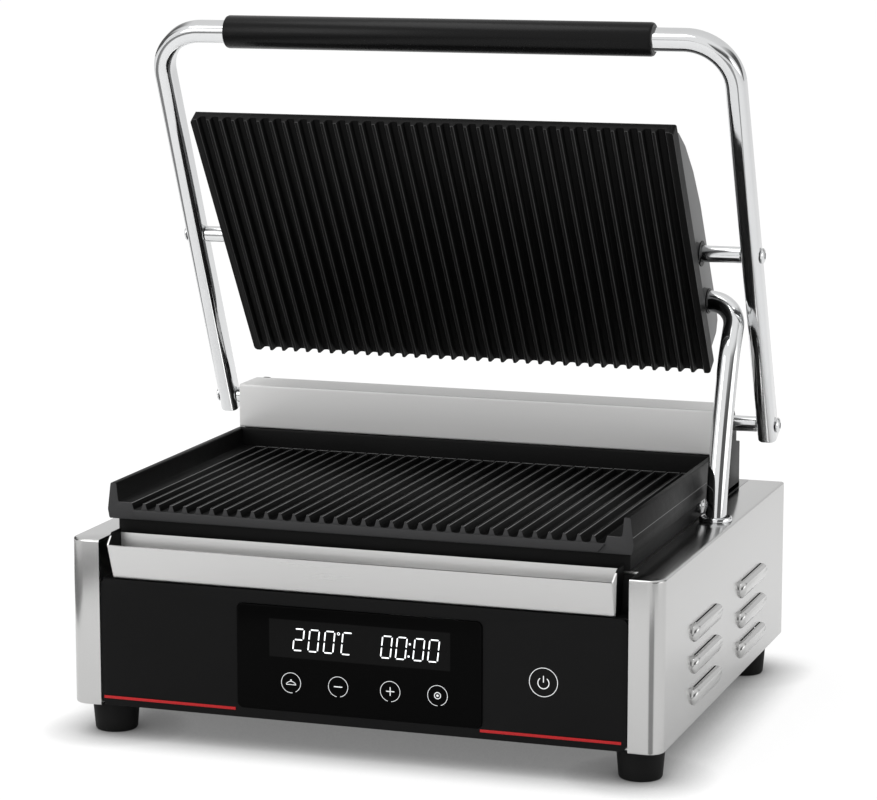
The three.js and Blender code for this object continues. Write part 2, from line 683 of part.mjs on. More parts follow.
// The trough's four walls lean outwards from its floor.
const tray_low = channel_half - tray.end_low_in;
const tray_top = channel_half - tray.end_top_in;
const lean = (top, low, top_z) => (top - low) / (top_z - tray.bottom);
const end_lean = lean(tray_top, tray_low, tray.end_top_z);
const front_lean = lean(tray.front_top, tray.front_low, tray.front_top_z);
const back_lean = lean(tray.back_top, tray.back_low, tray.back_top_z);
function troughSolid(inset, top_z) {
  const rim = (z) => {
    const rise = z - tray.bottom;
    const end = tray_low - inset + end_lean * rise;
    const front = tray.front_low + inset + front_lean * rise;
    const back = tray.back_low - inset + back_lean * rise;
    return [[-end, front, z], [end, front, z], [end, back, z], [-end, back, z]];
  };
  const points = [...rim(tray.bottom + inset), ...rim(top_z)];
  const faces = [
    [0, 2, 1], [0, 3, 2], [4, 5, 6], [4, 6, 7], [0, 1, 5], [0, 5, 4], [1, 2, 6], [1, 6, 5], [2, 3, 7],
    [2, 7, 6],
    [3, 0, 4], [3, 4, 7],
  ];
  const geometry = new THREE.BufferGeometry();
  geometry.setAttribute('position', new THREE.Float32BufferAttribute(points.flat(), 3));
  geometry.setIndex(faces.flat());
  return toSolid(geometry);
}
const tray_over = tray.end_top_z + punch;
const trough = troughSolid(0, tray.end_top_z).subtract(troughSolid(tray.sheet, tray_over));
const wide = housing.half_width;
const fold_line = tray_low - tray.end_fold;
const above_front = box(-wide, wide, tray.front_top - punch, tray.front_low, tray.front_top_z, tray_over);
const above_back = box(
  -fold_line, fold_line, tray.back_low - tray.end_fold, tray.back_top + punch, tray.back_top_z, tray_over,
);
const above_ends = prismX([
  [tray.front_top - punch, tray.front_top_z], [tray.front_low, tray.end_top_z - tray.sheet],
  [tray.back_low, tray_over], [tray.front_top - punch, tray_over],
], -wide, wide);
add('grease_tray', cut(trough, [above_front, above_back, above_ends]), material.brushed);

// Skirt under the lower plate, insulation, heating element and sensor.
const skirt_top = lower.bottom - gap;
const skirt_solid = cut(
  box(-skirt_half, skirt_half, skirt.front, skirt.back, skirt.bottom, skirt_top),
  [
    box(
      -skirt_half + skirt.wall, skirt_half - skirt.wall, skirt.front + skirt.wall, skirt.back - skirt.wall,
      skirt.bottom - punch, skirt_top + punch,
    ),
  ],
);
add('plate_skirt', skirt_solid, material.iron);
add('lower_insulation', cut(
  box(-mat_half, mat_half, mat_front, mat_back, insulation.bottom, insulation.bottom + insulation.thick),
  deck_holes.concat(
    [
      rodZ(
        deck.post_hole_radius, insulation.bottom - punch, insulation.bottom + insulation.thick + punch,
        element.terminal_x, element.terminal_y,
      ),
    ],
  ),
), material.mineral);

function serpentine(size, height) {
  const points = [[-size.half_width, size.back, height]];
  const step = (size.back - size.front) / (size.pass_count - 1);
  for (let i = 0; i < size.pass_count; i += 1) {
    const y = size.back - i * step;
    const direction = i % 2 ? -1 : 1;
    if (i > 0) points.push([-direction * size.half_width, y, height]);
    points.push([direction * size.half_width, y, height]);
  }
  return alongStations(
    bentRoute(points, Math.min(size.bend, step / 2 - gap), facets.bend), circle(size.radius, facets.wire),
  );
}
const lower_element_z = lower.bottom - gap - element.radius;
add('lower_element', serpentine({
  ...element, half_width: element_half, front: mat_front + element.front_clear,
  back: mat_back - element.back_clear,
}, lower_element_z), material.sheath);

// Cooking plate grooves: points across the width, as offsets from the ridge tips.
function groovePoints(size, half, tip, sign) {
  const points = [];
  const pitch = 2 * half / size.count;
  for (let i = 0; i < size.count; i += 1) {
    const left = i * pitch - half;
    const right = left + pitch;
    const middle = (left + right) / 2;
    const root = tip - sign * size.depth;
    const shoulder = root + sign * size.root_rise;
    points.push(
      [left + size.peak_half, tip], [left + size.peak_half + size.flank, shoulder],
      [middle - size.root_half / 2, root],
      [middle + size.root_half / 2, root], [right - size.peak_half - size.flank, shoulder],
      [right - size.peak_half, tip],
    );
  }
  return points;
}

// Lower plate: ridged bed open at the front, with rims at both sides and a wall at the back.
const bed = [
  [-wall_foot, lower.ridge_top], ...groovePoints(groove, wall_foot - groove.shelf, lower.ridge_top, 1),
  [wall_foot, lower.ridge_top],
];
const lower_section = [
  [-lower_base, lower.bottom], [lower_base, lower.bottom], [lower_half, lower.flare_z],
  [rim_outer, lower.rim_top], [rim_inner, lower.rim_top], ...bed.reverse(), [-rim_inner, lower.rim_top],
  [-rim_outer, lower.rim_top], [-lower_half, lower.flare_z],
];
const apron_points = [
  [lower.apron_bottom_in - lower_half, lower.apron_low],
  [lower_half - lower.apron_bottom_in, lower.apron_low],
  [lower_half - lower.apron_top_in, lower.apron_high], [lower.apron_top_in - lower_half, lower.apron_high],
];
const lower_plate = cut(
  union([
    prismY(lower_section, lower.front, lower.back),
    box(-rim_inner, rim_inner, lower.rear_wall, lower.back, lower.bottom, lower.rim_top),
    prismY(apron_points, lower.front - lower.apron_out, lower.front + lower.apron_out),
  ]),
  [
    bothSides(
      rodX(
        side_bolt.radius + side_bolt.clear, bolt_seat - side_bolt.boss_depth, housing.half_width,
        side_bolt.y, side_bolt.z,
      ),
    ),
  ],
);
add('lower_plate', lower_plate, material.iron);
const sensor_z = lower.bottom - gap - sensor.radius;
add(
  'lower_sensor',
  rodX(sensor.radius, sensor_x, sensor_x + sensor.length, sensor.y, sensor_z, facets.wire),
  material.brass,
);
const side_bolt_solid = turnedX(
  [[0, bolt_seat], [side_bolt.radius, bolt_seat], [side_bolt.radius, lower_base - side_bolt.clear],
    [side_bolt.radius - side_bolt.clear, lower_base], [0, lower_base]],
  facets.pin, side_bolt.y, side_bolt.z,
);
add('side_bolt_right', side_bolt_solid, material.chrome);
add('side_bolt_left', mirrored(side_bolt_solid), material.chrome);

// Rear cover: a sheet folded round the noses of both brackets, open behind, with rounded front
// edges; its floor ends ahead of the brackets' legs.
const cover_far = cover.back + cover.corner + punch;
const cover_profile = (inset) => roundedRectangle(
  cover.front + inset, cover_far, cover.bottom + inset, cover.top - inset, cover.corner - inset,
  cover.corner_facets,
);
const cover_solid = prismX(cover_profile(0), -bracket_outer, bracket_outer)
  .subtract(prismX(cover_profile(cover.sheet), -housing.half_width, housing.half_width))
  .intersect(box(-bracket_outer, bracket_outer, cover.front, cover.back, cover.bottom, cover.top))
  .subtract(box(
    -housing.half_width, housing.half_width, floor_sheet_back, cover_far, cover.bottom - punch,
    cover.bottom + cover_inside,
  ));
add('rear_cover', cover_solid, material.brushed);

// Hinge brackets: black end plates with a foot on the deck, a boss round the shaft and an ear
// inside the cover.
function bracketSide() {
  const nose_front = cover.front + cover_inside;
  const nose_bottom = cover.bottom + cover_inside;
  const nose_top = cover.top - cover_inside;
  const nose_cut = cover.corner - cover_inside;
  const boss = Array.from({ length: facets.bend + 1 }, (_, i) => {
    const angle = 2 * quarter_turn * i / facets.bend;
    return [
      hinge.y + bracket.boss_radius * Math.cos(angle), hinge.z + bracket.boss_radius * Math.sin(angle),
    ];
  });
  const side = prismX([
    [nose_front, nose_bottom + nose_cut], [nose_front + nose_cut, nose_bottom],
    [bracket.leg_front, nose_bottom], [bracket.leg_front, bracket.foot_bottom],
    [bracket.step_back, bracket.foot_bottom], [bracket.step_back, bracket.step_z],
    [bracket.leg_back, bracket.step_z],
    [bracket.leg_back, hinge.z - bracket.boss_radius / 2], [hinge.y + bracket.boss_radius, hinge.z],
    ...boss.slice(1, -1),
    [bracket.nose_back, nose_top], [nose_front + nose_cut, nose_top], [nose_front, nose_top - nose_cut],
  ], bracket_inner, bracket_outer);
  const foot_flange = box(
    bracket_outer - bracket.flange_width, bracket_outer, bracket.leg_front, bracket.step_back,
    bracket.foot_bottom, bracket.foot_bottom + bracket.sheet,
  );
  const ear = box(
    bracket_inner - bracket.ear_width, bracket_inner + bracket.sheet / 2,
    nose_front + nose_cut, cover.back - bracket.ear, nose_top - bracket.ear, nose_top,
  );
  const tab_y = hinge.y + spring.mean_radius;
  const tab_top = hinge.z - spring.tail - gap;
  const tab = box(
    bracket_inner - spring_tab.reach, bracket_inner + spring_tab.thick / 2, tab_y - spring_tab.half_width,
    tab_y + spring_tab.half_width, tab_top - spring_tab.thick, tab_top,
  );
  return cut(union([side, foot_flange, ear, tab]), [
    rodX(
      bush.outer + bush.clear, bracket_inner - punch, bracket_outer + punch, hinge.y, hinge.z,
    ), ...bracket_holes,
  ]);
}
const right_bracket = bracketSide();
add('hinge_bracket_right', right_bracket, material.iron);
add('hinge_bracket_left', mirrored(right_bracket), material.iron);
const bracket_top = bracket.foot_bottom + bracket.sheet;
const bracket_head = bracket_top + gap + bracket_screw.head;
const bracket_screw_solid = union([
  rodZ(
    bracket_screw.head_radius, bracket_top + gap, bracket_head, bracket_screw_x, bracket.screw_y,
    facets.bolt,
  ),
  rodZ(
    bracket_screw.shank_radius, bracket_top - bracket_screw.shank, bracket_head, bracket_screw_x,
    bracket.screw_y, facets.bolt,
  ),
]);
add('bracket_screw_right', bracket_screw_solid, material.zinc);
add('bracket_screw_left', mirrored(bracket_screw_solid), material.zinc);

// Bushes, hinge shaft and counterbalance springs.
const bush_bore = shaft.radius + running_gap;
const bush_solid = turnedX([
  [bush_bore, bracket_inner - gap], [bush.outer, bracket_inner - gap], [bush.outer, bracket_outer + gap],
  [bush.flange_radius, bracket_outer + gap], [bush.flange_radius, bracket_outer + gap + bush.flange],
  [bush_bore, bracket_outer + gap + bush.flange], [bush_bore, bracket_inner - gap],
], facets.pin, hinge.y, hinge.z);
add('hinge_bush_right', bush_solid, material.plastic);
add('hinge_bush_left', mirrored(bush_solid), material.plastic);
const shaft_end = arm_inner - gap;
const shaft_bores = bothSides(
  rodX(shaft.bolt_hole, shaft_end - shaft.bolt_depth, shaft_end + punch, hinge.y, hinge.z, facets.bolt),
);
add(
  'hinge_shaft', rodX(shaft.radius, -shaft_end, shaft_end, hinge.y, hinge.z).subtract(shaft_bores),
  material.chrome,
);

function springStations() {
  const stations = [];
  const steps = spring.turn_count * facets.coil_turn;
  const point = (t) => {
    const angle = 2 * Math.PI * t;
    return new THREE.Vector3(
      bracket_inner - spring.end_gap - spring.pitch * t, hinge.y + spring.mean_radius * Math.cos(angle),
      hinge.z + spring.mean_radius * Math.sin(angle),
    );
  };
  for (let i = 0; i <= steps; i += 1) {
    const t = i / facets.coil_turn;
    const tangent = point(t + step_share).sub(point(t - step_share)).normalize();
    stations.push({ point: point(t), tangent });
  }
  const first = stations[0];
  const leg = first.point.clone().addScaledVector(first.tangent, -spring.tail);
  stations.unshift({ point: leg, tangent: first.tangent });
  return stations;
}
const spring_solid = alongStations(springStations(), circle(spring.wire, facets.coil_side));
add('counter_spring_right', spring_solid, material.spring);
add('counter_spring_left', mirrored(spring_solid), material.spring);

// Lid frame, drawn upright at the hinge and then leaned back to rest.
const leanLid = (solid) => turned(solid, lid.rest_angle).translate([0, hinge.y, hinge.z]);
const frameRoute = bentRoute([
  [-arm_x, 0, -lid.foot_reach], [-arm_x, 0, lid.arm_reach], [arm_x, 0, lid.arm_reach],
  [arm_x, 0, -lid.foot_reach],
], lid.corner_radius, facets.bend);
const section = (inset) => outline(roundedRectangle(
  -frame_tube.deep / 2 + inset, frame_tube.deep / 2 - inset, -frame_tube.across / 2 + inset,
  frame_tube.across / 2 - inset,
  frame_tube.round - inset, frame_tube.round_facets,
));
const shortened = frameRoute.map((s, i) => {
  const end = i === 0 || i === frameRoute.length - 1;
  const shift = end ? frame_tube.wall : 0;
  return { point: s.point.clone().add(new THREE.Vector3(0, 0, shift)), tangent: s.tangent };
});
const armHoles = [0, lid.pivot_reach].map((z) => bothSides(rodX(
  arm_bolt.shank_radius + gap, arm_inner - punch, arm_outer + punch, 0, z, facets.bolt,
)));
const frame_solid = cut(
  alongStations(frameRoute, section(0)),
  [alongStations(shortened, section(frame_tube.wall)), ...armHoles],
);
add('handle_frame', leanLid(frame_solid), material.chrome);
const half_bar = frame_tube.across / 2 + grip.bore_side;
const half_bar_deep = frame_tube.deep / 2 + grip.bore_side;
const grip_profile = [
  [0, -grip_half], [grip.radius - grip.end_round, -grip_half], [grip.radius, grip.end_round - grip_half],
  [grip.radius, grip_half - grip.end_round], [grip.radius - grip.end_round, grip_half], [0, grip_half],
];
const grip_bore = prismX(roundedRectangle(
  -half_bar_deep, half_bar_deep, lid.arm_reach - half_bar, lid.arm_reach + half_bar, frame_tube.round,
  frame_tube.round_facets,
), -grip_half - punch, grip_half + punch);
add(
  'handle_grip', leanLid(turnedX(grip_profile, grip.facets, 0, lid.arm_reach).subtract(grip_bore)),
  material.grip,
);

// Button-head bolts through the arms, into the shaft and the pivot pins.
function armBolt(z) {
  const seat = arm_outer + gap;
  const head = turnedX([
    [0, seat], [arm_bolt.head_radius, seat], [arm_bolt.head_radius, seat + arm_bolt.head - arm_bolt.dome],
    [arm_bolt.head_radius - arm_bolt.dome, seat + arm_bolt.head], [0, seat + arm_bolt.head],
  ], facets.pin, 0, z);
  const shank = rodX(arm_bolt.shank_radius, arm_inner - arm_bolt.reach, seat, 0, z, facets.bolt);
  const socket = rodX(
    arm_bolt.socket_radius, seat + arm_bolt.head - arm_bolt.socket, seat + arm_bolt.head + punch, 0, z,
    facets.hexagon,
  );
  return head.add(shank).subtract(socket);
}
add('hinge_bolt_right', leanLid(armBolt(0)), material.chrome);
add('hinge_bolt_left', leanLid(mirrored(armBolt(0))), material.chrome);
add('pivot_bolt_right', leanLid(armBolt(lid.pivot_reach)), material.chrome);
add('pivot_bolt_left', leanLid(mirrored(armBolt(lid.pivot_reach))), material.chrome);
const pin_solid = cut(rodX(pin.radius, upper_half - pin.reach, arm_inner - gap, 0, lid.pivot_reach), [
  rodX(
    shaft.bolt_hole, arm_inner - gap - shaft.bolt_depth, arm_inner + punch, 0, lid.pivot_reach,
    facets.bolt,
  ),
]);
add('pivot_pin_right', leanLid(pin_solid), material.chrome);
add('pivot_pin_left', leanLid(mirrored(pin_solid)), material.chrome);

// Upper plate in its own frame: pivot at the origin, ridges down, rear edge toward +Y; it is
// then turned to rest at the pivot.
const onAxis = (reach, angle) => new THREE.Vector2(0, reach).rotateAround(
  new THREE.Vector2(), angle * degree,
);
const hinge_point = new THREE.Vector2(hinge.y, hinge.z);
const pivot_rest = hinge_point.clone().add(onAxis(lid.pivot_reach, lid.rest_angle));
const restUpper = (solid) => turned(solid, -travel.plate_angle).translate([0, pivot_rest.x, pivot_rest.y]);
const hub_inner = upper_half - upper.hub_length;
const bore_inner = upper_half - upper.hub_bore_depth;
const groove_tool = prismY(
  [...groovePoints(
    upper_groove, upper_half - upper_groove.shelf, upper.tips, -1,
  ), [upper_half, upper.tips], [upper_half, upper.tips - punch],
    [-upper_half, upper.tips - punch], [-upper_half, upper.tips]],
  upper.ahead - punch, upper.behind + punch,
);
const lug = (radius, nose_radius, y, z) => union([
  rodX(radius, hub_inner, pad_half, y, z),
  box(hub_inner, pad_half, y - radius, y + radius, upper.top - gap, z),
  rodX(nose_radius, hub_inner, upper_half, y, z),
]);
const pin_bore = pin.radius + running_gap;
const conduit_bore = conduit.radius + running_gap;
const pin_nose = pin_bore + upper.nose_wall;
const conduit_nose = conduit_bore + upper.nose_wall;
const post = (y) => rodZ(
  upper.post_radius, upper.top - gap, hood.crest - hood.sheet - gap, 0, y, facets.pin,
);
const upper_body = union([
  prismZ(
    roundedRectangle(-slab_half, slab_half, upper.ahead, upper.behind, upper.corner, upper.corner_facets),
    upper.tips, upper.top,
  ),
  box(-pad_half, pad_half, upper.pad_front, upper.pad_back, upper.top - gap, upper.pad_top),
  bothSides(lug(upper.pin_lug, pin_nose, 0, 0)),
  lug(upper.conduit_lug, conduit_nose, conduit.entry_behind, conduit.entry_rise),
  ...upper.post_y.map(post),
]);
const hood_screw_holes = upper.post_y.map((y) => rodZ(
  cap_screw.shank_radius + gap, hood.crest - cap_screw.shank - gap, hood.crest + punch, 0, y, facets.bolt,
));
const upper_plate = cut(upper_body, [
  groove_tool, ...hood_screw_holes, bothSides(rodX(pin_bore, bore_inner, upper_half + punch, 0, 0)),
  rodX(
    conduit_bore, hub_inner - punch, upper_half + punch, conduit.entry_behind, conduit.entry_rise,
  ),
]);
add('upper_plate', restUpper(upper_plate), material.iron);

// A closed outline moved inwards, its corners mitred.
function insetOutline(points, inset) {
  const at = points.map((point) => new THREE.Vector2(...point));
  const inward = at.map((point, i) => {
    const along = at[(i + 1) % at.length].clone().sub(point).normalize();
    return new THREE.Vector2(along.y, -along.x);
  });
  return at.map((point, i) => {
    const before = inward[(i + at.length - 1) % at.length];
    const both = before.clone().add(inward[i]);
    return point.clone().addScaledVector(both, inset / (1 + before.dot(inward[i]))).toArray();
  });
}

// Hood: a drawn sheet cap, open toward the plate, with holes for the lugs' noses and the screws.
const hood_side = [
  [hood.front, hood_bottom], ...hood.slope, [hood.crest_front, hood.crest], [hood.crest_back, hood.crest],
  hood.shoulder, [upper.behind, hood.rear_top], [upper.behind, hood_bottom],
];
const hood_cavity = insetOutline(hood_side, hood.sheet);
const cavity_front = hood_cavity[0][0];
const cavity_back = hood_cavity[hood_cavity.length - 1][0];
const hood_solid = cut(prismX(hood_side, -hood_half, hood_half), [
  prismX(
    [[cavity_front, hood_bottom - punch], ...hood_cavity, [cavity_back, hood_bottom - punch]],
    -hood_inner, hood_inner,
  ),
  bothSides(rodX(pin_nose + gap, hood_inner - punch, hood_half + punch, 0, 0)),
  rodX(
    conduit_nose + gap, hood_inner - punch, hood_half + punch, conduit.entry_behind, conduit.entry_rise,
  ),
  ...hood_screw_holes,
]);
add('upper_back_sheet', restUpper(hood_solid), material.iron);
upper.post_y.forEach((y, i) => {
  const screw = union([
    rodZ(
      cap_screw.head_radius, hood.crest + gap, hood.crest + gap + cap_screw.head, 0, y, facets.bolt,
    ),
    rodZ(
      cap_screw.shank_radius, hood.crest - cap_screw.shank, hood.crest + gap + cap_screw.head, 0, y,
      facets.bolt,
    ),
  ]);
  add(`back_sheet_screw_${i + 1}`, restUpper(screw), material.zinc);
});
add(
  'upper_element', restUpper(serpentine(
    { ...upper_element, half_width: pocket_half - upper_element.side_clear },
    upper.pad_top + gap + upper_element.radius,
  )),
  material.sheath,
);
const thermostat_bottom = upper.pad_top + gap;
add('upper_thermostat', restUpper(box(
  thermostat.x, thermostat.x + thermostat.width, thermostat.y, thermostat.y + thermostat.depth,
  thermostat_bottom, thermostat_bottom + thermostat.height,
)), material.ceramic);

// Snap rings beside the plate, round both pivot pins and the conduit.
function snapRing(bore, y, z) {
  const seat = upper_half + gap;
  const whole = turnedX([
    [bore, seat], [clip.radius, seat], [clip.radius, seat + clip.thick], [bore, seat + clip.thick],
    [bore, seat],
  ], facets.pin, y, z);
  return whole.subtract(box(
    seat - punch, seat + punch, y - clip.split / 2, y + clip.split / 2, z - clip.radius - punch, z,
  ));
}
const pivot_clip = snapRing(pin.radius + gap, 0, 0);
add('pivot_clip_right', restUpper(pivot_clip), material.plastic);
add('pivot_clip_left', restUpper(mirrored(pivot_clip)), material.plastic);
add(
  'conduit_clip', restUpper(snapRing(conduit.radius + gap, conduit.entry_behind, conduit.entry_rise)),
  material.plastic,
);

// Conduit: its straight leg turns in the plate's hub; its long leg is shaped so that, as the lid
// closes, it always runs through the middle of the ring on the housing.
const ring_point = new THREE.Vector2(conduit.entry_y, housing.top);
const swing = (vector, angle) => vector.rotateAround(new THREE.Vector2(), angle * degree);
function entryAt(done) {
  const pivot = swing(pivot_rest.clone().sub(hinge_point), travel.lid_angle * done).add(hinge_point);
  const offset = swing(
    new THREE.Vector2(conduit.entry_behind, conduit.entry_rise), travel.plate_angle * (done - 1),
  );
  return pivot.add(offset);
}
const entry = entryAt(0);
const runThroughRing = (done) => swing(
  ring_point.clone().sub(entryAt(done)), -travel.conduit_angle * done,
).add(entry);
function runHeading(done) {
  return runThroughRing(done - step_share).sub(runThroughRing(done + step_share)).normalize();
}
const station = (x, point, tangent) => ({
  point: new THREE.Vector3(x, point.x, point.y), tangent: tangent.clone(),
});
const inPlane = (heading) => new THREE.Vector3(0, heading.x, heading.y);
function conduitStations() {
  const most = 1 + conduit.spare_angle / travel.lid_angle;
  const least = -conduit.spare_angle / travel.lid_angle;
  const top = runThroughRing(most);
  const down = top.clone().sub(entry).normalize();
  const stations = [station(upper_half - conduit.reach, entry, new THREE.Vector3(1, 0, 0))];
  for (let i = 0; i <= facets.bend; i += 1) {
    const angle = quarter_turn * i / facets.bend;
    const x = conduit_x - conduit.elbow + conduit.elbow * Math.sin(angle);
    const point = entry.clone().addScaledVector(down, conduit.elbow * (1 - Math.cos(angle)));
    stations.push(
      station(
        x, point,
        new THREE.Vector3(Math.cos(angle), 0, 0).addScaledVector(inPlane(down), Math.sin(angle)),
      ),
    );
  }
  const start = entry.clone().addScaledVector(down, conduit.elbow);
  const reach = start.distanceTo(top) * ease_share;
  const blend = new THREE.CubicBezierCurve(
    start, start.clone().addScaledVector(down, reach), top.clone().addScaledVector(
      runHeading(most), -reach,
    ), top,
  );
  for (let i = 1; i < conduit.blend_count; i += 1) {
    const u = i / conduit.blend_count;
    stations.push(station(conduit_x, blend.getPoint(u), inPlane(blend.getTangent(u))));
  }
  for (let i = 0; i <= conduit.station_count; i += 1) {
    const done = most + (least - most) * i / conduit.station_count;
    stations.push(station(conduit_x, runThroughRing(done), inPlane(runHeading(done))));
  }
  return stations;
}
const conduit_shape = circle(conduit.radius, facets.tube);
conduit_shape.holes.push(circle(conduit.radius - conduit.wall, facets.tube));
add('conduit_tube', alongStations(conduitStations(), conduit_shape), material.chrome);
const ring_bottom = housing.top + gap;
add('conduit_ring', turnedZ([
  [ring.bore, ring.neck_bottom], [ring.neck_outer, ring.neck_bottom], [ring.neck_outer, ring_bottom],
  [ring.outer, ring_bottom],
  [ring.outer, ring_bottom + ring.flange - ring.edge], [ring.outer - ring.edge, ring_bottom + ring.flange],
  [ring.bore, ring_bottom + ring.flange], [ring.bore, ring.neck_bottom],
], facets.foot, conduit_x, conduit.entry_y), material.chrome);

export default grill;
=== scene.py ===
import math

import bmesh
import bpy
from mathutils import Matrix, Vector


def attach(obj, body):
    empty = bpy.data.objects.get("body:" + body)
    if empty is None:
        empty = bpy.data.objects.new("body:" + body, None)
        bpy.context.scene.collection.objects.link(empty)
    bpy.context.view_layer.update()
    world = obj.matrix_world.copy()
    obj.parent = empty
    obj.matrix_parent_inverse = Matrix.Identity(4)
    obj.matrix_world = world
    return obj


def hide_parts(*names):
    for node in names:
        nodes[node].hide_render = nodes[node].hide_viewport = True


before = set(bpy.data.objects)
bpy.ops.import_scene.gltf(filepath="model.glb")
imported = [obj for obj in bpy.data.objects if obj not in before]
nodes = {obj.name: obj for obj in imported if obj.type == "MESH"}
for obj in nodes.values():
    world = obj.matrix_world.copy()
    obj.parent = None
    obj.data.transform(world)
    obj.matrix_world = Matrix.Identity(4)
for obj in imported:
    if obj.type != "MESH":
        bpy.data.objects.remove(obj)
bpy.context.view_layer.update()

# The view: a long lens in front of the grill and to its right, raised a little above the plates
# and aimed just over the cooking bed.
azimuth, elevation, distance = math.radians(18.8), math.radians(9.62), 2.31802
aim = Vector((-0.00769, 0.01520, 0.22027))
back = Vector((
    math.sin(azimuth) * math.cos(elevation), -math.cos(azimuth) * math.cos(elevation), math.sin(elevation),
))
lens = bpy.data.cameras.new("camera")
lens.sensor_width = 36
lens.lens = 129.62
camera = bpy.data.objects.new("camera", lens)
camera.location = aim + distance * back
camera.rotation_euler = back.to_track_quat("Z", "Y").to_euler()
bpy.context.scene.collection.objects.link(camera)
bpy.context.scene.camera = camera
bpy.context.scene.view_settings.view_transform = "Standard"


# The studio: white sweep, soft overhead light, and a surround whose grey bands give the polished
# tubes something to mirror. Shader sums are written with sockets that take Python's operators.
class Value:
    """A socket of a node tree that takes part in Python arithmetic."""

    def __init__(self, tree, socket):
        self.tree, self.socket = tree, socket

    def math(self, operation, *others):
        return self.tree.node("ShaderNodeMath", {"operation": operation}, dict(enumerate((self,) + others)))

    def __add__(self, other):
        return self.math("ADD", other)

    def __sub__(self, other):
        return self.math("SUBTRACT", other)

    def __mul__(self, other):
        return self.math("MULTIPLY", other)

    def __truediv__(self, other):
        return self.math("DIVIDE", other)

    def __rsub__(self, other):
        return self.tree.node("ShaderNodeMath", {"operation": "SUBTRACT"}, {0: other, 1: self})

    def __lt__(self, other):
        return self.math("LESS_THAN", other)

    def __gt__(self, other):
        return self.math("GREATER_THAN", other)

    def __abs__(self):
        return self.math("ABSOLUTE")

    def clamp(self):
        return self.tree.node("ShaderNodeClamp", {}, {0: self})

    def between(self, low, high):
        """0 at low, 1 at high, eased."""
        settings = {"interpolation_type": "SMOOTHSTEP"}
        inputs = {"Value": self, "From Min": low, "From Max": high}
        return self.tree.node("ShaderNodeMapRange", settings, inputs)

    __radd__ = __add__
    __rmul__ = __mul__


class Tree:
    """Adds nodes to a material or a world."""

    def __init__(self, owner):
        owner.use_nodes = True
        self.nodes, self.links = owner.node_tree.nodes, owner.node_tree.links

    def node(self, kind, settings, inputs, output=0):
        made = self.nodes.new(kind)
        for name, setting in settings.items():
            if name == "stops":
                for stop, (place, colour) in zip(made.color_ramp.elements, setting):
                    stop.position, stop.color = place, colour
            else:
                setattr(made, name, setting)
        self.feed(made, inputs)
        return Value(self, made.outputs[output])

    def feed(self, made, inputs):
        for name, given in inputs.items():
            if isinstance(given, Value):
                self.links.new(given.socket, made.inputs[name])
            else:
                made.inputs[name].default_value = given

    def mix(self, share, first, second):
        """One colour at share 0, the other at share 1."""
        return self.node("ShaderNodeMix", {"data_type": "RGBA"}, {0: share, 6: first, 7: second}, 2)


def grey(level, alpha=1.0):
    return (level, level, level, alpha)


world = bpy.context.scene.world or bpy.data.worlds.new("studio")
bpy.context.scene.world = world
sky = Tree(world)
facing = sky.node("ShaderNodeTexCoord", {}, {}, "Generated")
split = sky.node("ShaderNodeSeparateXYZ", {}, {0: facing})
toward_x, toward_y, toward_z = (Value(sky, split.socket.node.outputs[i]) for i in range(3))
rays = sky.node("ShaderNodeLightPath", {}, {})
seen = Value(sky, rays.socket.node.outputs["Is Camera Ray"])
mirrored = Value(sky, rays.socket.node.outputs["Is Glossy Ray"])
passed = Value(sky, rays.socket.node.outputs["Is Transmission Ray"])
overhead = toward_z.between(-0.1, 0.75)
behind = toward_y.between(0.0, 0.8)
low_band = toward_z.between(0.35, 0.75)
dark_front = abs(toward_x - 0.66).between(0.28, 0.22) * (toward_y < 0)
dark_left = toward_x.between(-0.45, -0.62) * (toward_y > -0.3)
dark_right = abs(toward_x - 0.56).between(0.12, 0.08) * (toward_y > 0)
bright_right = toward_x.between(0.90, 0.96)
surround = 0.80 + overhead * 0.22 - behind * 0.12
cards = (dark_front + dark_left + dark_right).clamp() * 0.88 * (1 - low_band)
plain = (seen + passed + mirrored).clamp()
panels = (1 - cards) * (1 - behind * 0.20) * (bright_right * 1.1 + 1)
strength = (plain + (1 - plain) * surround) * (1 + mirrored * (panels - 1))
sky.feed(sky.nodes["Background"], {"Color": grey(1), "Strength": strength})


def lamp(name, place, aim, size, power):
    light = bpy.data.lights.new(name, "AREA")
    light.shape, light.size, light.size_y, light.energy = "RECTANGLE", size[0], size[1], power
    holder = bpy.data.objects.new(name, light)
    holder.location = place
    holder.rotation_euler = (Vector(place) - Vector(aim)).to_track_quat("Z", "Y").to_euler()
    bpy.context.scene.collection.objects.link(holder)


lamp("lamp_top", (-0.5, -0.5, 2.4), (0, 0, 0.2), (1.6, 1.2), 16)
lamp("lamp_front", (-1.6, -2.2, 1.3), (0, 0, 0.2), (0.9, 1.4), 10)

sweep = bpy.data.materials.new("white_sweep")
shade = Tree(sweep)
shade.nodes.remove(shade.nodes["Principled BSDF"])
path = shade.node("ShaderNodeLightPath", {}, {})
glossy = Value(shade, path.socket.node.outputs["Is Glossy Ray"])
near = shade.node("ShaderNodeAmbientOcclusion", {"samples": 8}, {"Distance": 0.040}, 1)
spot = shade.node("ShaderNodeTexCoord", {}, {}, "Object")
spot_x = Value(shade, shade.node("ShaderNodeSeparateXYZ", {}, {0: spot}).socket.node.outputs[0])
spot_y = Value(shade, spot_x.socket.node.outputs[1])
strips = abs(spot_x + 0.95).between(0.42, 0.36) * (spot_y < 0.25)
ahead = spot_y * -1 - 0.178
corner_strip = abs((spot_x - 0.207) / ahead - 0.52).between(0.44, 0.36) * (ahead > 0) * (ahead < 0.95)
paper_tone = (0.88 - path * 0.72) * (1 - glossy * strips * 0.75) * (1 - glossy * corner_strip * 0.65)
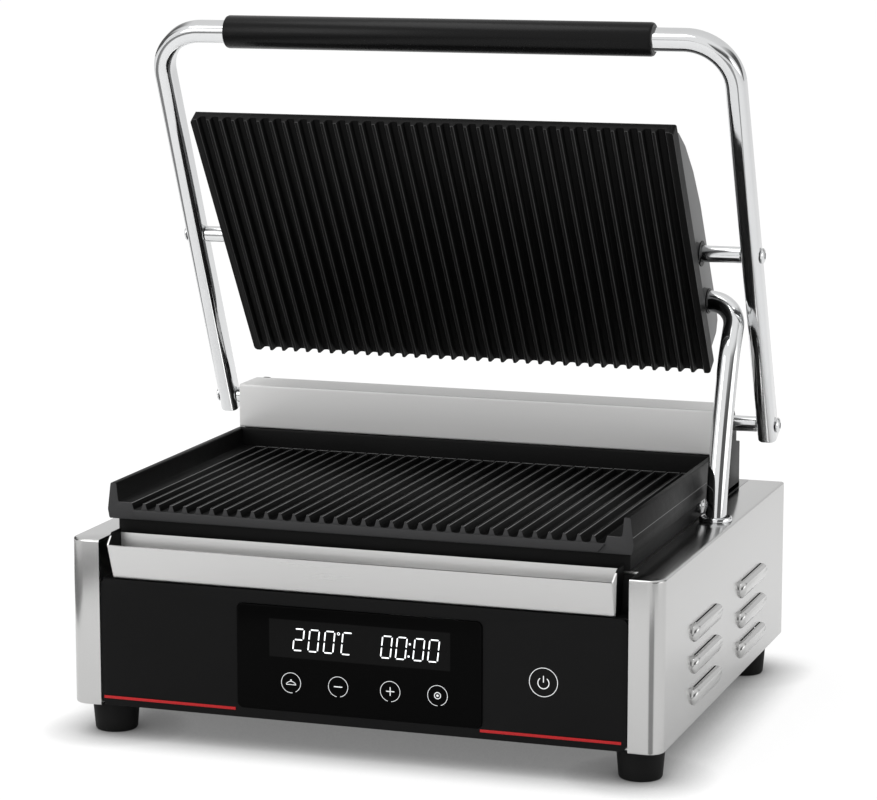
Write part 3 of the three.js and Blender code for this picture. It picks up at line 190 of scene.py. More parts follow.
paper = shade.node("ShaderNodeBsdfDiffuse", {}, {"Color": shade.mix(paper_tone, grey(0), grey(1))})
open_floor = near.math("POWER", 1.7)
glow = shade.node("ShaderNodeEmission", {}, {"Color": grey(1), "Strength": path * open_floor * 0.86})
lit = shade.node("ShaderNodeAddShader", {}, {0: paper, 1: glow})
shade.feed(shade.nodes["Material Output"], {"Surface": lit})
ground = bmesh.new()
bmesh.ops.create_grid(ground, x_segments=1, y_segments=1, size=20)
ground_mesh = bpy.data.meshes.new("floor")
ground.to_mesh(ground_mesh)
ground_mesh.materials.append(sweep)
floor = bpy.data.objects.new("floor", ground_mesh)
bpy.context.scene.collection.objects.link(floor)


# Side panels: stainless sheet folded into a top flange, a bottom flange and a front strip round
# one rounded corner, brushed lengthwise. Six louvres are pressed out of each wall.
def steel(name, grain, tone=0.53, rough=0.20, streaks=0.02, metal=1.0, relief=0.02):
    """Brushed stainless, its grain along the axis whose scale is low."""
    material = bpy.data.materials.new(name)
    tree = Tree(material)
    place = tree.node("ShaderNodeTexCoord", {}, {}, "Object")
    fine_map = tree.node("ShaderNodeMapping", {}, {"Vector": place, "Scale": grain})
    fine = tree.node("ShaderNodeTexNoise", {}, {"Vector": fine_map, "Scale": 1400.0, "Detail": 3.0})
    broad = tree.node("ShaderNodeTexNoise", {}, {"Vector": fine_map, "Scale": 230.0, "Detail": 2.0})
    cloud = tree.node("ShaderNodeTexNoise", {}, {"Vector": place, "Scale": 7.0, "Detail": 2.0})
    brushed = (fine - 0.5) * 0.6 + (broad - 0.5) * 0.6 + 0.5
    level = (brushed * 2 * streaks + (1 - streaks)) * ((cloud - 0.5) * 0.05 + 1)
    colour = tree.mix(level, grey(0), (tone * 1.003, tone, tone * 0.992, 1))
    bump = tree.node("ShaderNodeBump", {}, {"Height": brushed, "Strength": relief, "Distance": 0.0001})
    gloss = brushed * 0.05 + (cloud * 0.04 + (rough - 0.045))
    tree.feed(tree.nodes["Principled BSDF"], {
        "Base Color": colour, "Metallic": metal, "Roughness": gloss, "Normal": bump,
    })
    return material


lengthwise = (1.0, 0.012, 1.0)
side_steel = steel("side_brushed_steel", lengthwise, rough=0.17)


def at(axis, a, b, along):
    """A point from its two places across an axis and its place along it."""
    return {"X": (along, a, b), "Y": (a, along, b), "Z": (a, b, along)}[axis]


def arc_points(centre, radius, first, last, step):
    """Points round a centre, from one angle to another in degrees."""
    turns = [math.radians(degrees) for degrees in range(first, last + 1, step)]
    return [(centre[0] + radius * math.cos(turn), centre[1] + radius * math.sin(turn)) for turn in turns]


def rounded(left, right, low, high, radius, steps=6):
    """The corners of a rectangle, each turned into an arc."""
    points = []
    for quarter, (x, y) in enumerate((
        (right - radius, low + radius), (right - radius, high - radius), (left + radius, high - radius),
        (left + radius, low + radius),
    )):
        for step in range(steps + 1):
            turn = math.radians(90 * (quarter - 1 + step / steps))
            points.append((x + radius * math.cos(turn), y + radius * math.sin(turn)))
    return points


def loop(bm, points):
    verts = [bm.verts.new(point) for point in points]
    return verts, [bm.edges.new((verts[i - 1], verts[i])) for i in range(len(verts))]


def edges_of(made, key="geom"):
    """The edges among what an operator made."""
    return [part for part in made[key] if isinstance(part, bmesh.types.BMEdge)]


def moved(bm, made, offset):
    """Moves what an extrusion made."""
    fresh = [part for part in made["geom"] if isinstance(part, bmesh.types.BMVert)]
    bmesh.ops.translate(bm, verts=fresh, vec=offset)
    return fresh


def extruded(bm, outline, axis, low, high, holes=()):
    """Fills an outline round its holes and pushes it along an axis."""
    edges = []
    for points in (outline, *holes):
        edges += loop(bm, [at(axis, a, b, low) for a, b in points])[1]
    if holes:
        made = bmesh.ops.triangle_fill(bm, use_beauty=True, use_dissolve=False, edges=edges)
    else:
        made = bmesh.ops.contextual_create(bm, geom=edges)
        made = {"geom": made["faces"]}
    faces = [part for part in made["geom"] if isinstance(part, bmesh.types.BMFace)]
    moved(bm, bmesh.ops.extrude_face_region(bm, geom=faces), at(axis, 0, 0, high - low))


def block(bm, left, right, front, rear, low, high):
    extruded(bm, [(left, front), (right, front), (right, rear), (left, rear)], "Z", low, high)


def folds(bm, angle):
    """The edges where two faces meet and turn by more than an angle."""
    return [
        edge for edge in bm.edges
        if len(edge.link_faces) == 2 and edge.calc_face_angle(0) > math.radians(angle)
    ]


def eased(bm, edges, width, segments=2, clamp=True):
    """Rounds edges over a width."""
    bmesh.ops.bevel(
        bm, geom=edges, offset=width, segments=segments, profile=0.5, affect="EDGES", material=-1,
        clamp_overlap=clamp,
    )


def soften(bm, width, segments=2, angle=38):
    """Rounds every edge that turns by more than an angle."""
    bmesh.ops.remove_doubles(bm, verts=bm.verts, dist=0.002)
    bmesh.ops.recalc_face_normals(bm, faces=bm.faces)
    eased(bm, folds(bm, angle), width, segments)


def flipped(bm):
    """The mirror image across the middle of the grill, with its faces turned back out."""
    bmesh.ops.scale(bm, vec=(-1, 1, 1), verts=bm.verts)
    bmesh.ops.reverse_faces(bm, faces=bm.faces)


def piece(
    bm, name, look, body, replaced=(), side=1, sheet=0.0, bevel=0.0, turn=None, angle=32,
    closed=True,
):
    """Makes an object of a mesh drawn in millimetres, mirrored on side -1, and seats it on its body."""
    if side < 0:
        flipped(bm)
    bmesh.ops.remove_doubles(bm, verts=bm.verts, dist=0.002)
    if closed:
        bmesh.ops.recalc_face_normals(bm, faces=bm.faces)
    if turn is not None:
        bmesh.ops.transform(bm, matrix=turn, verts=bm.verts)
    bmesh.ops.scale(bm, vec=(0.001, 0.001, 0.001), verts=bm.verts)
    mesh = bpy.data.meshes.new(name)
    bm.to_mesh(mesh)
    bm.free()
    mesh.shade_smooth()
    mesh.set_sharp_from_angle(angle=math.radians(angle))
    mesh.materials.append(look)
    made = bpy.data.objects.new(name, mesh)
    bpy.context.scene.collection.objects.link(made)
    if sheet:
        wall = made.modifiers.new("sheet", "SOLIDIFY")
        wall.thickness, wall.offset, wall.use_even_offset = sheet / 1000, -1, True
    if bevel:
        edge = made.modifiers.new("edges", "BEVEL")
        edge.width, edge.segments, edge.limit_method = bevel / 1000, 2, "ANGLE"
        edge.angle_limit, edge.harden_normals = math.radians(40), True
    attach(made, body)
    if replaced:
        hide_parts(*replaced)
    return made


def louvre(bm, wall, front, middle):
    """Raises one louvre on the wall, slit along its upper edge, and gives its base loop."""
    radius, length, proud, shift = 6.5, 75, 4.6, 3.4
    outline = rounded(front, front + length, middle - radius, middle + radius, radius - 0.01, 8)
    verts, edges = loop(bm, [(wall, y, z) for y, z in outline])
    base = list(edges)
    lift = 0
    tilts = range(8, 73, 8)
    for tilt in tilts:
        share = math.radians(tilt)
        made = bmesh.ops.extrude_edge_only(bm, edges=edges)
        edges = edges_of(made)
        for vert in {vert for edge in edges for vert in edge.verts}:
            spine = min(max(vert.co.y, front + radius), front + length - radius)
            across = Vector((vert.co.y - spine, vert.co.z - middle - lift)).normalized()
            vert.co = (
                wall + proud * math.sin(share), spine + across.x * radius * math.cos(share),
                middle + across.y * radius * math.cos(share) + shift * (1 - math.cos(share)),
            )
        lift = shift * (1 - math.cos(share))
        if tilt == tilts[0]:
            slit = [
                face for face in {face for edge in edges for face in edge.link_faces}
                if face.calc_center_median().z > middle + 0.9 * radius
                and front + radius < face.calc_center_median().y < front + length - radius
            ]
            bmesh.ops.delete(bm, geom=slit, context="FACES_ONLY")
    bmesh.ops.contextual_create(bm, geom=edges)
    return base


for side, hand in ((1, "right"), (-1, "left")):
    bm = bmesh.new()
    wall, end, corner, low, high = 215, 181, 11, 23.3, 142.4
    strip, flange, strip_rear = 192, 188, -157
    outline = arc_points((wall - corner, corner - end), corner, -90, 0, 9)
    extruded(bm, [
        (strip, -end), *outline, (wall, end), (flange, end), (flange, strip_rear), (strip, strip_rear),
    ], "Z", low, high)
    inner, ahead, behind = strip + 0.1, 0.1 - end, end - 0.1
    for height, radius in ((high, 1.8), (low, 1.5)):
        brow = [
            edge for edge in bm.edges
            if all(abs(v.co.z - height) < 0.01 and (v.co.x > inner or v.co.y < ahead) for v in edge.verts)
            and not all(v.co.y > behind for v in edge.verts)
        ]
        eased(bm, brow, radius, 4, False)
    bmesh.ops.recalc_face_normals(bm, faces=bm.faces)
    open_faces = [
        face for face in bm.faces
        if all(v.co.x < inner for v in face.verts) or all(v.co.y > behind for v in face.verts)
    ]
    bmesh.ops.delete(bm, geom=open_faces, context="FACES")
    broad = max((face for face in bm.faces if face.normal.x > 0.99), key=lambda face: face.calc_area())
    rim = list(broad.edges)
    bmesh.ops.delete(bm, geom=[broad], context="FACES_ONLY")
    for front in (-100, 38):
        for middle in (88, 65.5, 43):
            rim += louvre(bm, wall, front, middle)
    bmesh.ops.triangle_fill(bm, use_beauty=True, use_dissolve=False, edges=rim, normal=(1, 0, 0))
    bmesh.ops.recalc_face_normals(bm, faces=bm.faces)
    broad = max((face for face in bm.faces if abs(face.normal.x) > 0.99), key=lambda face: face.calc_area())
    if broad.normal.x < 0:
        bmesh.ops.reverse_faces(bm, faces=bm.faces)
    panel = piece(
        bm, f"side_sheet_{hand}", side_steel, "housing", [f"side_panel_{hand}"], side,
        sheet=1.5, bevel=0.18, closed=False, angle=28,
    )
    panel.modifiers["sheet"].use_even_offset = False


# Feet: moulded rubber buffers, tapering to the floor, with a hollow below for the screw.
def moulded(name, colour, rough, pebble, height=0.00008, spread=0.12, shine=0.10):
    """A moulded or painted finish with a fine pebble and uneven gloss."""
    material = bpy.data.materials.new(name)
    tree = Tree(material)
    place = tree.node("ShaderNodeTexCoord", {}, {}, "Object")
    grains = tree.node("ShaderNodeTexNoise", {}, {"Vector": place, "Scale": pebble, "Detail": 2.0})
    cloud = tree.node("ShaderNodeTexNoise", {}, {"Vector": place, "Scale": 30.0, "Detail": 3.0})
    dark = tuple(0.78 * part for part in colour) + (1,)
    light = tuple(1.22 * part for part in colour) + (1,)
    bump = tree.node("ShaderNodeBump", {}, {"Height": grains, "Strength": 0.5, "Distance": height})
    tree.feed(tree.nodes["Principled BSDF"], {
        "Base Color": tree.mix((grains + cloud) * 0.5, dark, light),
        "Roughness": (cloud - 0.5) * spread + ((grains - 0.5) * 0.08 + rough), "Normal": bump,
        "Specular IOR Level": shine,
    })
    return material


def turned(bm, profile, axis, centre, steps=48):
    """Spins a profile of [radius, place along the axis] pairs round an axis through centre."""
    turn = {"X": (1, 0, 0), "Y": (0, 1, 0), "Z": (0, 0, 1)}[axis]
    middle = Vector(at(axis, centre[0], centre[1], 0))
    verts = [bm.verts.new(middle + Vector(at(axis, radius, 0, along))) for radius, along in profile]
    edges = [bm.edges.new(pair) for pair in zip(verts, verts[1:])]
    bmesh.ops.spin(
        bm, geom=verts + edges, cent=middle, axis=turn, dvec=(0, 0, 0), angle=math.tau, steps=steps,
        use_merge=True,
    )


rubber = moulded("foot_black_rubber", (0.007, 0.007, 0.007), 0.62, 1500.0)
for end, y in (("front", -152), ("rear", 146)):
    for hand, x in (("left", -193.5), ("right", 193.5)):
        bm = bmesh.new()
        turned(bm, [
            (0, 3.2), (5.4, 3.2), (6.0, 0.5), (6.8, 0), (13.2, 0), (14.4, 0.4), (15.05, 1.5), (15.5, 6.2),
            (16.7, 20.6), (16.5, 21.7), (15.6, 22.7), (3.4, 22.9), (2.8, 24), (2.8, 34), (0, 34),
        ], "Z", (x, y), 56)
        piece(bm, f"rubber_foot_{end}_{hand}", rubber, "housing", [f"foot_{end}_{hand}"])


# Floor plate, deck and rear panel: flat galvanised and stainless sheets that close the housing
# below, above and behind, screwed to the side panels. The rear one has vents and a cord gland.
def sheet_copy(node, name, look, body, width, segments=2, angle=38):
    """A merged copy of a CAD node with its edges eased."""
    bm = bmesh.new()
    bm.from_mesh(nodes[node].data)
    bmesh.ops.scale(bm, vec=(1000, 1000, 1000), verts=bm.verts)
    bmesh.ops.remove_doubles(bm, verts=bm.verts, dist=0.004)
    bmesh.ops.dissolve_limit(bm, angle_limit=math.radians(0.6), verts=bm.verts, edges=bm.edges)
    soften(bm, width, segments, angle)
    return piece(bm, name, look, body, [node])


def dress(look, *names):
    """Gives CAD nodes that stay a finish."""
    for name in names:
        slots = nodes[name].data.materials
        slots.clear()
        slots.append(look)


crosswise = (0.012, 1.0, 1.0)
cover_steel = steel("cover_brushed_steel", crosswise, tone=0.70, rough=0.42, streaks=0.012, metal=0.2)
rear_steel = steel("rear_brushed_steel", crosswise, tone=0.44, rough=0.33)
zinc = steel("zinc_plate", (1.0, 1.0, 1.0), tone=0.42, rough=0.36, streaks=0.16, relief=0.10)
dress(zinc, "floor_plate")
dress(rear_steel, "deck")
sheet_copy("rear_panel", "rear_sheet", rear_steel, "housing", 0.25)


def screw(name, node, axis, centre, seat, radius, head, body, turn=None):
    """A pan-head screw whose cross recess is a black cross set into the head, painted shade; its head rises
    from seat along the axis.
    """
    shank = 8
    bm = bmesh.new()
    turned(bm, [
        (0, seat - shank), (radius * 0.46, seat - shank + 0.8), (radius * 0.46, seat), (radius, seat),
        (radius, seat + head * 0.35), (radius * 0.86, seat + head * 0.75),
        (radius * 0.55, seat + head * 0.95), (radius * 0.2, seat + head), (0, seat + head),
    ], axis, centre, 40)
    piece(bm, name, zinc, body, [node], turn=turn)
    # The cross recess is not cut: a black cross stands in the head as painted shade.
    bm = bmesh.new()
    arm, half = radius * 0.55, radius * 0.11
    top = seat + head + 0.02
    for wide, tall in ((arm, half), (half, arm)):
        extruded(bm, [
            (centre[0] - wide, centre[1] - tall), (centre[0] + wide, centre[1] - tall),
            (centre[0] + wide, centre[1] + tall), (centre[0] - wide, centre[1] + tall),
        ], axis, top - head * 0.4, top)
    piece(bm, f"{name}_recess", recess_painted_shade, body, turn=turn)


recess_painted_shade = moulded("screw_cross_painted_shade", (0.01, 0.01, 0.01), 0.7, 900.0)
for side, hand in ((-1, "left"), (1, "right")):
    screw(f"rear_pan_screw_{hand}", f"rear_screw_{hand}", "Y", (side * 203, 96), 181.1, 3.6, 1.7, "housing")
gland_black = moulded("gland_black_plastic", (0.02, 0.02, 0.021), 0.45, 1100.0)
bm = bmesh.new()
turned(bm, [
    (4, 174), (8.6, 174), (8.6, 181.1), (10.6, 181.1), (11, 181.5), (11, 185.1), (10.4, 185.9), (8.2, 188.2),
    (7.2, 189.2), (4.8, 189.2), (4, 188.4), (4, 174),
], "Y", (-120, 52))
turned(bm, [(8.8, 173.7), (13, 173.7), (13, 178.7), (8.8, 178.7), (8.8, 173.7)], "Y", (-120, 52), 6)
for step in range(16):
    rib = bmesh.ops.create_cube(bm, size=1)["verts"]
    bmesh.ops.scale(bm, vec=(0.9, 3.2, 0.8), verts=rib)
    bmesh.ops.translate(bm, verts=rib, vec=(10.9, 0, 0))
    bmesh.ops.rotate(bm, verts=rib, cent=(0, 0, 0), matrix=Matrix.Rotation(math.tau * step / 16, 3, "Y"))
    bmesh.ops.translate(bm, verts=rib, vec=(-120, 183.3, 52))
piece(bm, "cord_bushing", gland_black, "housing", ["cord_gland"])


# Front panel: black enamelled sheet between the front strips of the side panels, cut out for the
# control glass. Two thin red strips are stuck along its lower edge.
enamel = moulded("black_enamel", (0.0055, 0.0055, 0.0056), 0.42, 1300.0, 0.00003, 0.08, 0.07)
bm = bmesh.new()
extruded(
    bm, rounded(-191.3, 191.3, 24.2, 115, 5), "Y", -178.4, -180.4,
    [rounded(-88.3, 90.2, 31.2, 105.8, 4.3)],
)
soften(bm, 0.45)
piece(bm, "enamel_front", enamel, "housing", ["front_panel"])
red = moulded("red_lacquer", (0.42, 0.006, 0.008), 0.38, 900.0, 0.00002, 0.06, 0.3)
for hand, left, right in (("left", -189.5, -89.8), ("right", 88.6, 187.6)):
    bm = bmesh.new()
    block(bm, left, right, -180.9, -180.4, 29, 31)
    soften(bm, 0.12)
    piece(bm, f"red_strip_{hand}", red, "housing", [f"accent_line_{hand}"])


# Control glass: black glass standing just proud of the panel, with a slightly paler display
# window, slanted numerals lit behind it, and printed rings round four touch keys.
glass = bpy.data.materials.new("control_black_glass")
tree = Tree(glass)
place = tree.node("ShaderNodeTexCoord", {}, {}, "Object")
across = Value(tree, tree.node("ShaderNodeSeparateXYZ", {}, {0: place}).socket.node.outputs[0])
upright = Value(tree, across.socket.node.outputs[2])
beside = abs(across - 0.00175).between(0.0652, 0.0662)
beyond = abs(upright - 0.08305).between(0.0128, 0.0138)
in_window = (1 - beside) * (1 - beyond)
smears = tree.node("ShaderNodeTexNoise", {}, {"Vector": place, "Scale": 22.0, "Detail": 4.0})
ripple = tree.node("ShaderNodeTexNoise", {}, {"Vector": place, "Scale": 9.0, "Detail": 1.0})
tree.feed(tree.nodes["Principled BSDF"], {
    "Base Color": tree.mix(in_window, grey(0.0012), grey(0.0062)), "Roughness": smears * 0.10 + 0.10,
    "Normal": tree.node("ShaderNodeBump", {}, {"Height": ripple, "Strength": 0.04, "Distance": 0.001}),
    "Specular IOR Level": 0.03,
})
bm = bmesh.new()
extruded(bm, rounded(-88, 90, 31.5, 105.5, 4, 8), "Y", -181.3, -178.7)
soften(bm, 0.45, 3)
piece(bm, "glass_front", glass, "housing", ["control_glass"])


def print_ink(name, colour, glow):
    material = bpy.data.materials.new(name)
    ink = Tree(material)
    spot = ink.node("ShaderNodeTexCoord", {}, {}, "Object")
    grain = ink.node("ShaderNodeTexNoise", {}, {"Vector": spot, "Scale": 700.0, "Detail": 2.0})
    tint = ink.mix(grain, tuple(0.86 * part for part in colour) + (1,), tuple(colour) + (1,))
    ink.feed(ink.nodes["Principled BSDF"], {
        "Base Color": tint, "Emission Color": tint, "Emission Strength": glow, "Roughness": 0.4,
    })
    return material


lit_white = print_ink("numeral_light", (0.93, 0.95, 0.96), 0.85)
key_white = print_ink("key_print", (0.78, 0.79, 0.80), 0.30)
print_front, print_back = -181.37, -181.25


def stroke(bm, start, end, width, taper=0.0):
    """A flat bar between two points on the glass, with pointed ends if it tapers."""
    start, end = Vector(start), Vector(end)
    along = (end - start).normalized()
    side = Vector((-along.y, along.x)) * width / 2
    tip = along * taper
    outline = [start, start + tip - side, end - tip - side, end, end - tip + side, start + tip + side]
    if not taper:
        outline = [start - side, end - side, end + side, start + side]
    extruded(bm, [tuple(point) for point in outline], "Y", print_back, print_front)


def arc(bm, centre, radius, width, first=0, last=360, steps=48):
    """A flat ring, or a part of one, on the glass."""
    count = max(3, round(steps * (last - first) / 360))
    turns = [math.radians(first + (last - first) * i / count) for i in range(count + 1)]
    outer, inner = (
        [(centre[0] + reach * math.cos(turn), centre[1] + reach * math.sin(turn)) for turn in turns]
        for reach in (radius + width / 2, radius - width / 2)
    )
    if last - first == 360:
        extruded(bm, outer[:-1], "Y", print_back, print_front, [inner[:-1]])
    else:
        extruded(bm, outer + inner[::-1], "Y", print_back, print_front)


digit_low, digit_high, digit_wide, digit_line, digit_lean = 75.3, 90.5, 6.9, 0.88, 0.11
segments = {
    "top": ((0, 2), (1, 2)), "middle": ((0, 1), (1, 1)), "bottom": ((1, 0), (0, 0)),
    "left_low": ((0, 0), (0, 1)), "left_high": ((0, 1), (0, 2)),
    "right_low": ((1, 1), (1, 0)), "right_high": ((1, 2), (1, 1)),
}
shapes = {
    "0": ("top", "right_high", "right_low", "bottom", "left_low", "left_high"),
    "2": ("top", "right_high", "middle", "left_low", "bottom"),
    "C": ("top", "left_high", "left_low", "bottom"),
}
bm = bmesh.new()
for shape, left in (
    ("2", -46.6), ("0", -35.5), ("0", -24.2), ("C", -11.3),
    ("0", 17.5), ("0", 28.2), ("0", 40.8), ("0", 51.4),
):
    for segment in shapes[shape]:
        ends = []
        for column, row in segments[segment]:
            height = digit_low + (digit_high - digit_low) * row / 2
            ends.append(Vector((left + column * digit_wide + (height - digit_low) * digit_lean, height)))
        gap = (ends[1] - ends[0]).normalized() * 0.55
        stroke(bm, ends[0] + gap, ends[1] - gap, digit_line, 0.45)
for height in (77.6, 86.2):
    lean = (height - digit_low) * digit_lean
    stroke(bm, (37.5 + lean, height - 0.65), (37.5 + lean, height + 0.65), 1.3)
arc(bm, (-13.0, 89.4), 0.85, 0.4, steps=24)
piece(bm, "display_numerals", lit_white, "housing")
bm = bmesh.new()
for x, first, last in ((-48.1, -62, 278), (-13.5, -78, 262), (24.4, -84, 256), (58.5, -70, 270)):
    arc(bm, (x, 52), 7.1, 0.35, first, last)
stroke(bm, (-16.6, 52), (-10.4, 52), 0.7)
stroke(bm, (21.4, 52), (27.4, 52), 0.65)
stroke(bm, (24.4, 49), (24.4, 55), 0.65)
arc(bm, (58.5, 52), 2.2, 0.55, steps=32)
arc(bm, (58.5, 52), 0.5, 0.7, 0, 359.9, 20)
arc(bm, (-48.1, 48.9), 4.1, 0.45, 32, 148, 48)
stroke(bm, (-51.7, 50.7), (-44.5, 50.7), 0.45)
arc(bm, (-48.1, 53.9), 0.4, 0.4, 0, 359.9, 16)
piece(bm, "touch_key_print", key_white, "housing")
bm = bmesh.new()
print_front, print_back = -180.47, -180.38
arc(bm, (133.2, 67.4), 9.9, 0.42)
arc(bm, (133.2, 66.9), 3.9, 0.62, -232, 52, 40)
stroke(bm, (133.2, 67.2), (133.2, 71.9), 0.62)
piece(bm, "power_key_print", key_white, "housing")


# Electrics behind the panel: display module, touch and relay boards, the mains terminals, and the
# thermostat in the lid. They are closed in and carry plain finishes.
board = moulded("solder_mask", (0.012, 0.10, 0.035), 0.38, 260.0, 0.00006, shine=0.4)
module_black = moulded("display_module_black", (0.012, 0.013, 0.015), 0.3, 1000.0)
ceramic = moulded("terminal_ceramic", (0.72, 0.69, 0.62), 0.45, 500.0, 0.00005, shine=0.5)
dress(board, "touch_board", "power_pad", "relay_board")
dress(module_black, "display_module")
dress(ceramic, "terminal_block", "upper_thermostat")


# Grease tray: one folded stainless trough that slides out to the front, its front wall flared. Its
# ends inside the housing are black, painted shade for the dark gap they stand in; the tips outside
# stay steel. Its inner faces take a lighter copy of the steel, painted light. It runs in a black
# channel on two legs.
tray_steel = steel("tray_brushed_steel", crosswise, tone=0.60, rough=0.28)
# Painted shade: the tray's steel ends inside the housing are coloured black for the deep shade of the narrow
# gap.
tray_end_shade_paint = moulded("tray_end_painted_shade", (0.006, 0.006, 0.006), 0.5, 900.0, 0.00003, shine=0.04)
# Painted light: a lighter copy of the tray steel, tone 0.80 against 0.60, for the inner faces.
tray_inside_painted_light = steel("tray_inside_steel_painted_light", crosswise, tone=0.80, rough=0.30)
bm = bmesh.new()
for side in (-1, 1):
    inner_part = [
        (182.2, -179, 115.4), (182.2, -165, 115.4), (183.6, -162.6, 145.2), (183.7, -162.4, 148),
        (183.7, -177.4, 148), (183.4, -180.2, 145.9),
    ]
    outer_part = [(182.2, -179, 115.4), (183.4, -180.2, 145.9), (182.6, -187.6, 140.5)]
    for part in (inner_part, outer_part):
        bm.faces.new([bm.verts.new((side * x, y, z)) for x, y, z in part])
for run in (
    [(-182.2, -179, 115.4), (182.2, -179, 115.4), (182.6, -187.6, 140.5), (-182.6, -187.6, 140.5)],
    [(-182.2, -165, 115.4), (182.2, -165, 115.4), (183.6, -162.6, 145.2), (-183.6, -162.6, 145.2)],
    [(-182.2, -179, 115.4), (182.2, -179, 115.4), (182.2, -165, 115.4), (-182.2, -165, 115.4)],
):
    bm.faces.new([bm.verts.new(point) for point in run])
bmesh.ops.remove_doubles(bm, verts=bm.verts, dist=0.01)
bmesh.ops.recalc_face_normals(bm, faces=bm.faces)
if min(bm.faces, key=lambda face: face.calc_center_median().z).normal.z > 0:
    bmesh.ops.reverse_faces(bm, faces=bm.faces)
eased(bm, folds(bm, 28.6), 0.9, 3, False)
tray = piece(
    bm, "folded_tray", cover_steel, "tray", ["grease_tray"], sheet=1.1, bevel=0.12,
    closed=False,
)
# The ends inside the housing take the painted shade, and the inner faces of the walls the lighter painted
# copy of the steel.
for look in (tray_end_shade_paint, tray_end_shade_paint, tray_steel, tray_inside_painted_light):
    tray.data.materials.append(look)
tray.modifiers["sheet"].material_offset = 1
for face in tray.data.polygons:
    if abs(face.normal.x) < 0.9:
        face.material_index = 3
    elif face.center.y > -0.180:
        face.material_index = 1
channel_black = moulded("channel_black_enamel", (0.006, 0.006, 0.006), 0.5, 1100.0, 0.00004)
sheet_copy("tray_channel", "enamel_channel", channel_black, "housing", 0.3)


# Skirt and lower plate: a black steel skirt carries the cast-iron cooking plate, whose ridged bed
# drains forwards over an apron between raised rims. Cast and enamelled; its bright ridge edges are a
# painted highlight, its dark grooves painted shade and its lighter front faces a painted reflection.
def cast_iron(name, tip, turn=0.0, sign=1, edge=0.22):
    """Black enamelled cast iron, with painted shade darkening the grooves and a painted highlight along the
    edges of the ridges.
    """
    # edge is the grey of the painted ridge highlight.
    tone, rough = 0.006, 0.42
    material = bpy.data.materials.new(name)
    tree = Tree(material)
    place = tree.node("ShaderNodeTexCoord", {}, {}, "Object")
    pits = tree.node(
        "ShaderNodeTexNoise", {}, {"Vector": place, "Scale": 900.0, "Detail": 4.0, "Roughness": 0.6},
    )
    skin = tree.node("ShaderNodeTexNoise", {}, {"Vector": place, "Scale": 150.0, "Detail": 3.0})
    cloud = tree.node("ShaderNodeTexNoise", {}, {"Vector": place, "Scale": 14.0, "Detail": 2.0})
    level = tree.node("ShaderNodeMapping", {}, {"Vector": place, "Rotation": (turn, 0, 0)})
    split = tree.node("ShaderNodeSeparateXYZ", {}, {0: level})
    height = Value(tree, split.socket.node.outputs[2])
    below = (tip - height) * (1000.0 * sign)
    # Painted highlight: a thin band just below the ridge tips is lifted towards the edge grey, standing in
    # for light caught on the rounded edges.
    painted_ridge_highlight = below.between(0.04, 0.12) * (1 - below.between(0.40, 0.55)) * (skin * 0.6 + 0.5)
    shade = tree.mix((pits + cloud) * 0.5, grey(tone * 0.7), grey(tone * 1.35))
    # Painted shade: the grooves darken with their depth below the tips.
    painted_groove_shade = tree.mix(below.between(0.8, 3.2) * 0.75, shade, grey(tone * 0.2))
    colour = tree.mix(painted_ridge_highlight, painted_groove_shade, grey(edge))
    relief = pits * 0.6 + skin
    bump = tree.node("ShaderNodeBump", {}, {"Height": relief, "Strength": 0.45, "Distance": 0.00022})
    gloss = (cloud - 0.5) * 0.12 + (skin - 0.5) * 0.10 + rough
    tree.feed(tree.nodes["Principled BSDF"], {
        "Base Color": colour, "Roughness": gloss - painted_ridge_highlight * 0.08, "Normal": bump, "Specular IOR Level": 0.08,
    })
    return material


skirt_black = moulded("skirt_black_paint", (0.007, 0.007, 0.007), 0.5, 1000.0, 0.00004)
sheet_copy("plate_skirt", "painted_skirt", skirt_black, "housing", 0.5)
iron = cast_iron("lower_cast_iron", 0.1676)
# Painted reflection: the bed's front faces and the apron are the same iron in a lighter grey, standing in
# for the white floor they mirror.
front_iron_painted_sheen = moulded("cast_iron_front_painted_reflection", (0.034, 0.034, 0.035), 0.5, 900.0, 0.0001, shine=0.2)


def ridged(bm, count, pitch, tip, sign, depth, peak, flank, root, rise):
    """One groove drawn as a chain of edges, repeated across the plate; gives its two end verts."""
    edge_round = 0.42
    root_level = tip - sign * depth
    shoulder = peak - pitch / 2
    foot = shoulder + flank
    points = [
        (-pitch / 2, tip), (shoulder - 0.1, tip), (shoulder + 0.22, tip - sign * 0.1),
        (shoulder + edge_round + 0.1, tip - sign * edge_round), (foot, root_level + sign * rise),
        (foot + 0.45, root_level + sign * rise * 0.42), (-root / 2, root_level + sign * 0.06),
        (0, root_level),
    ]
    points += [(-x, z) for x, z in reversed(points[:-1])]
    start = -pitch * (count - 1) / 2
    chain = [bm.verts.new((start + x, 0, z)) for x, z in points]
    edges = [bm.edges.new(pair) for pair in zip(chain, chain[1:])]
    source = chain + edges
    for step in range(1, count):
        copy = bmesh.ops.duplicate(bm, geom=source)["geom"]
        fresh = [part for part in copy if isinstance(part, bmesh.types.BMVert)]
        bmesh.ops.translate(bm, verts=fresh, vec=(pitch * step, 0, 0))
    bmesh.ops.remove_doubles(bm, verts=bm.verts, dist=0.01)
    ordered = sorted(bm.verts, key=lambda vert: vert.co.x)
    return ordered[0], ordered[-1]


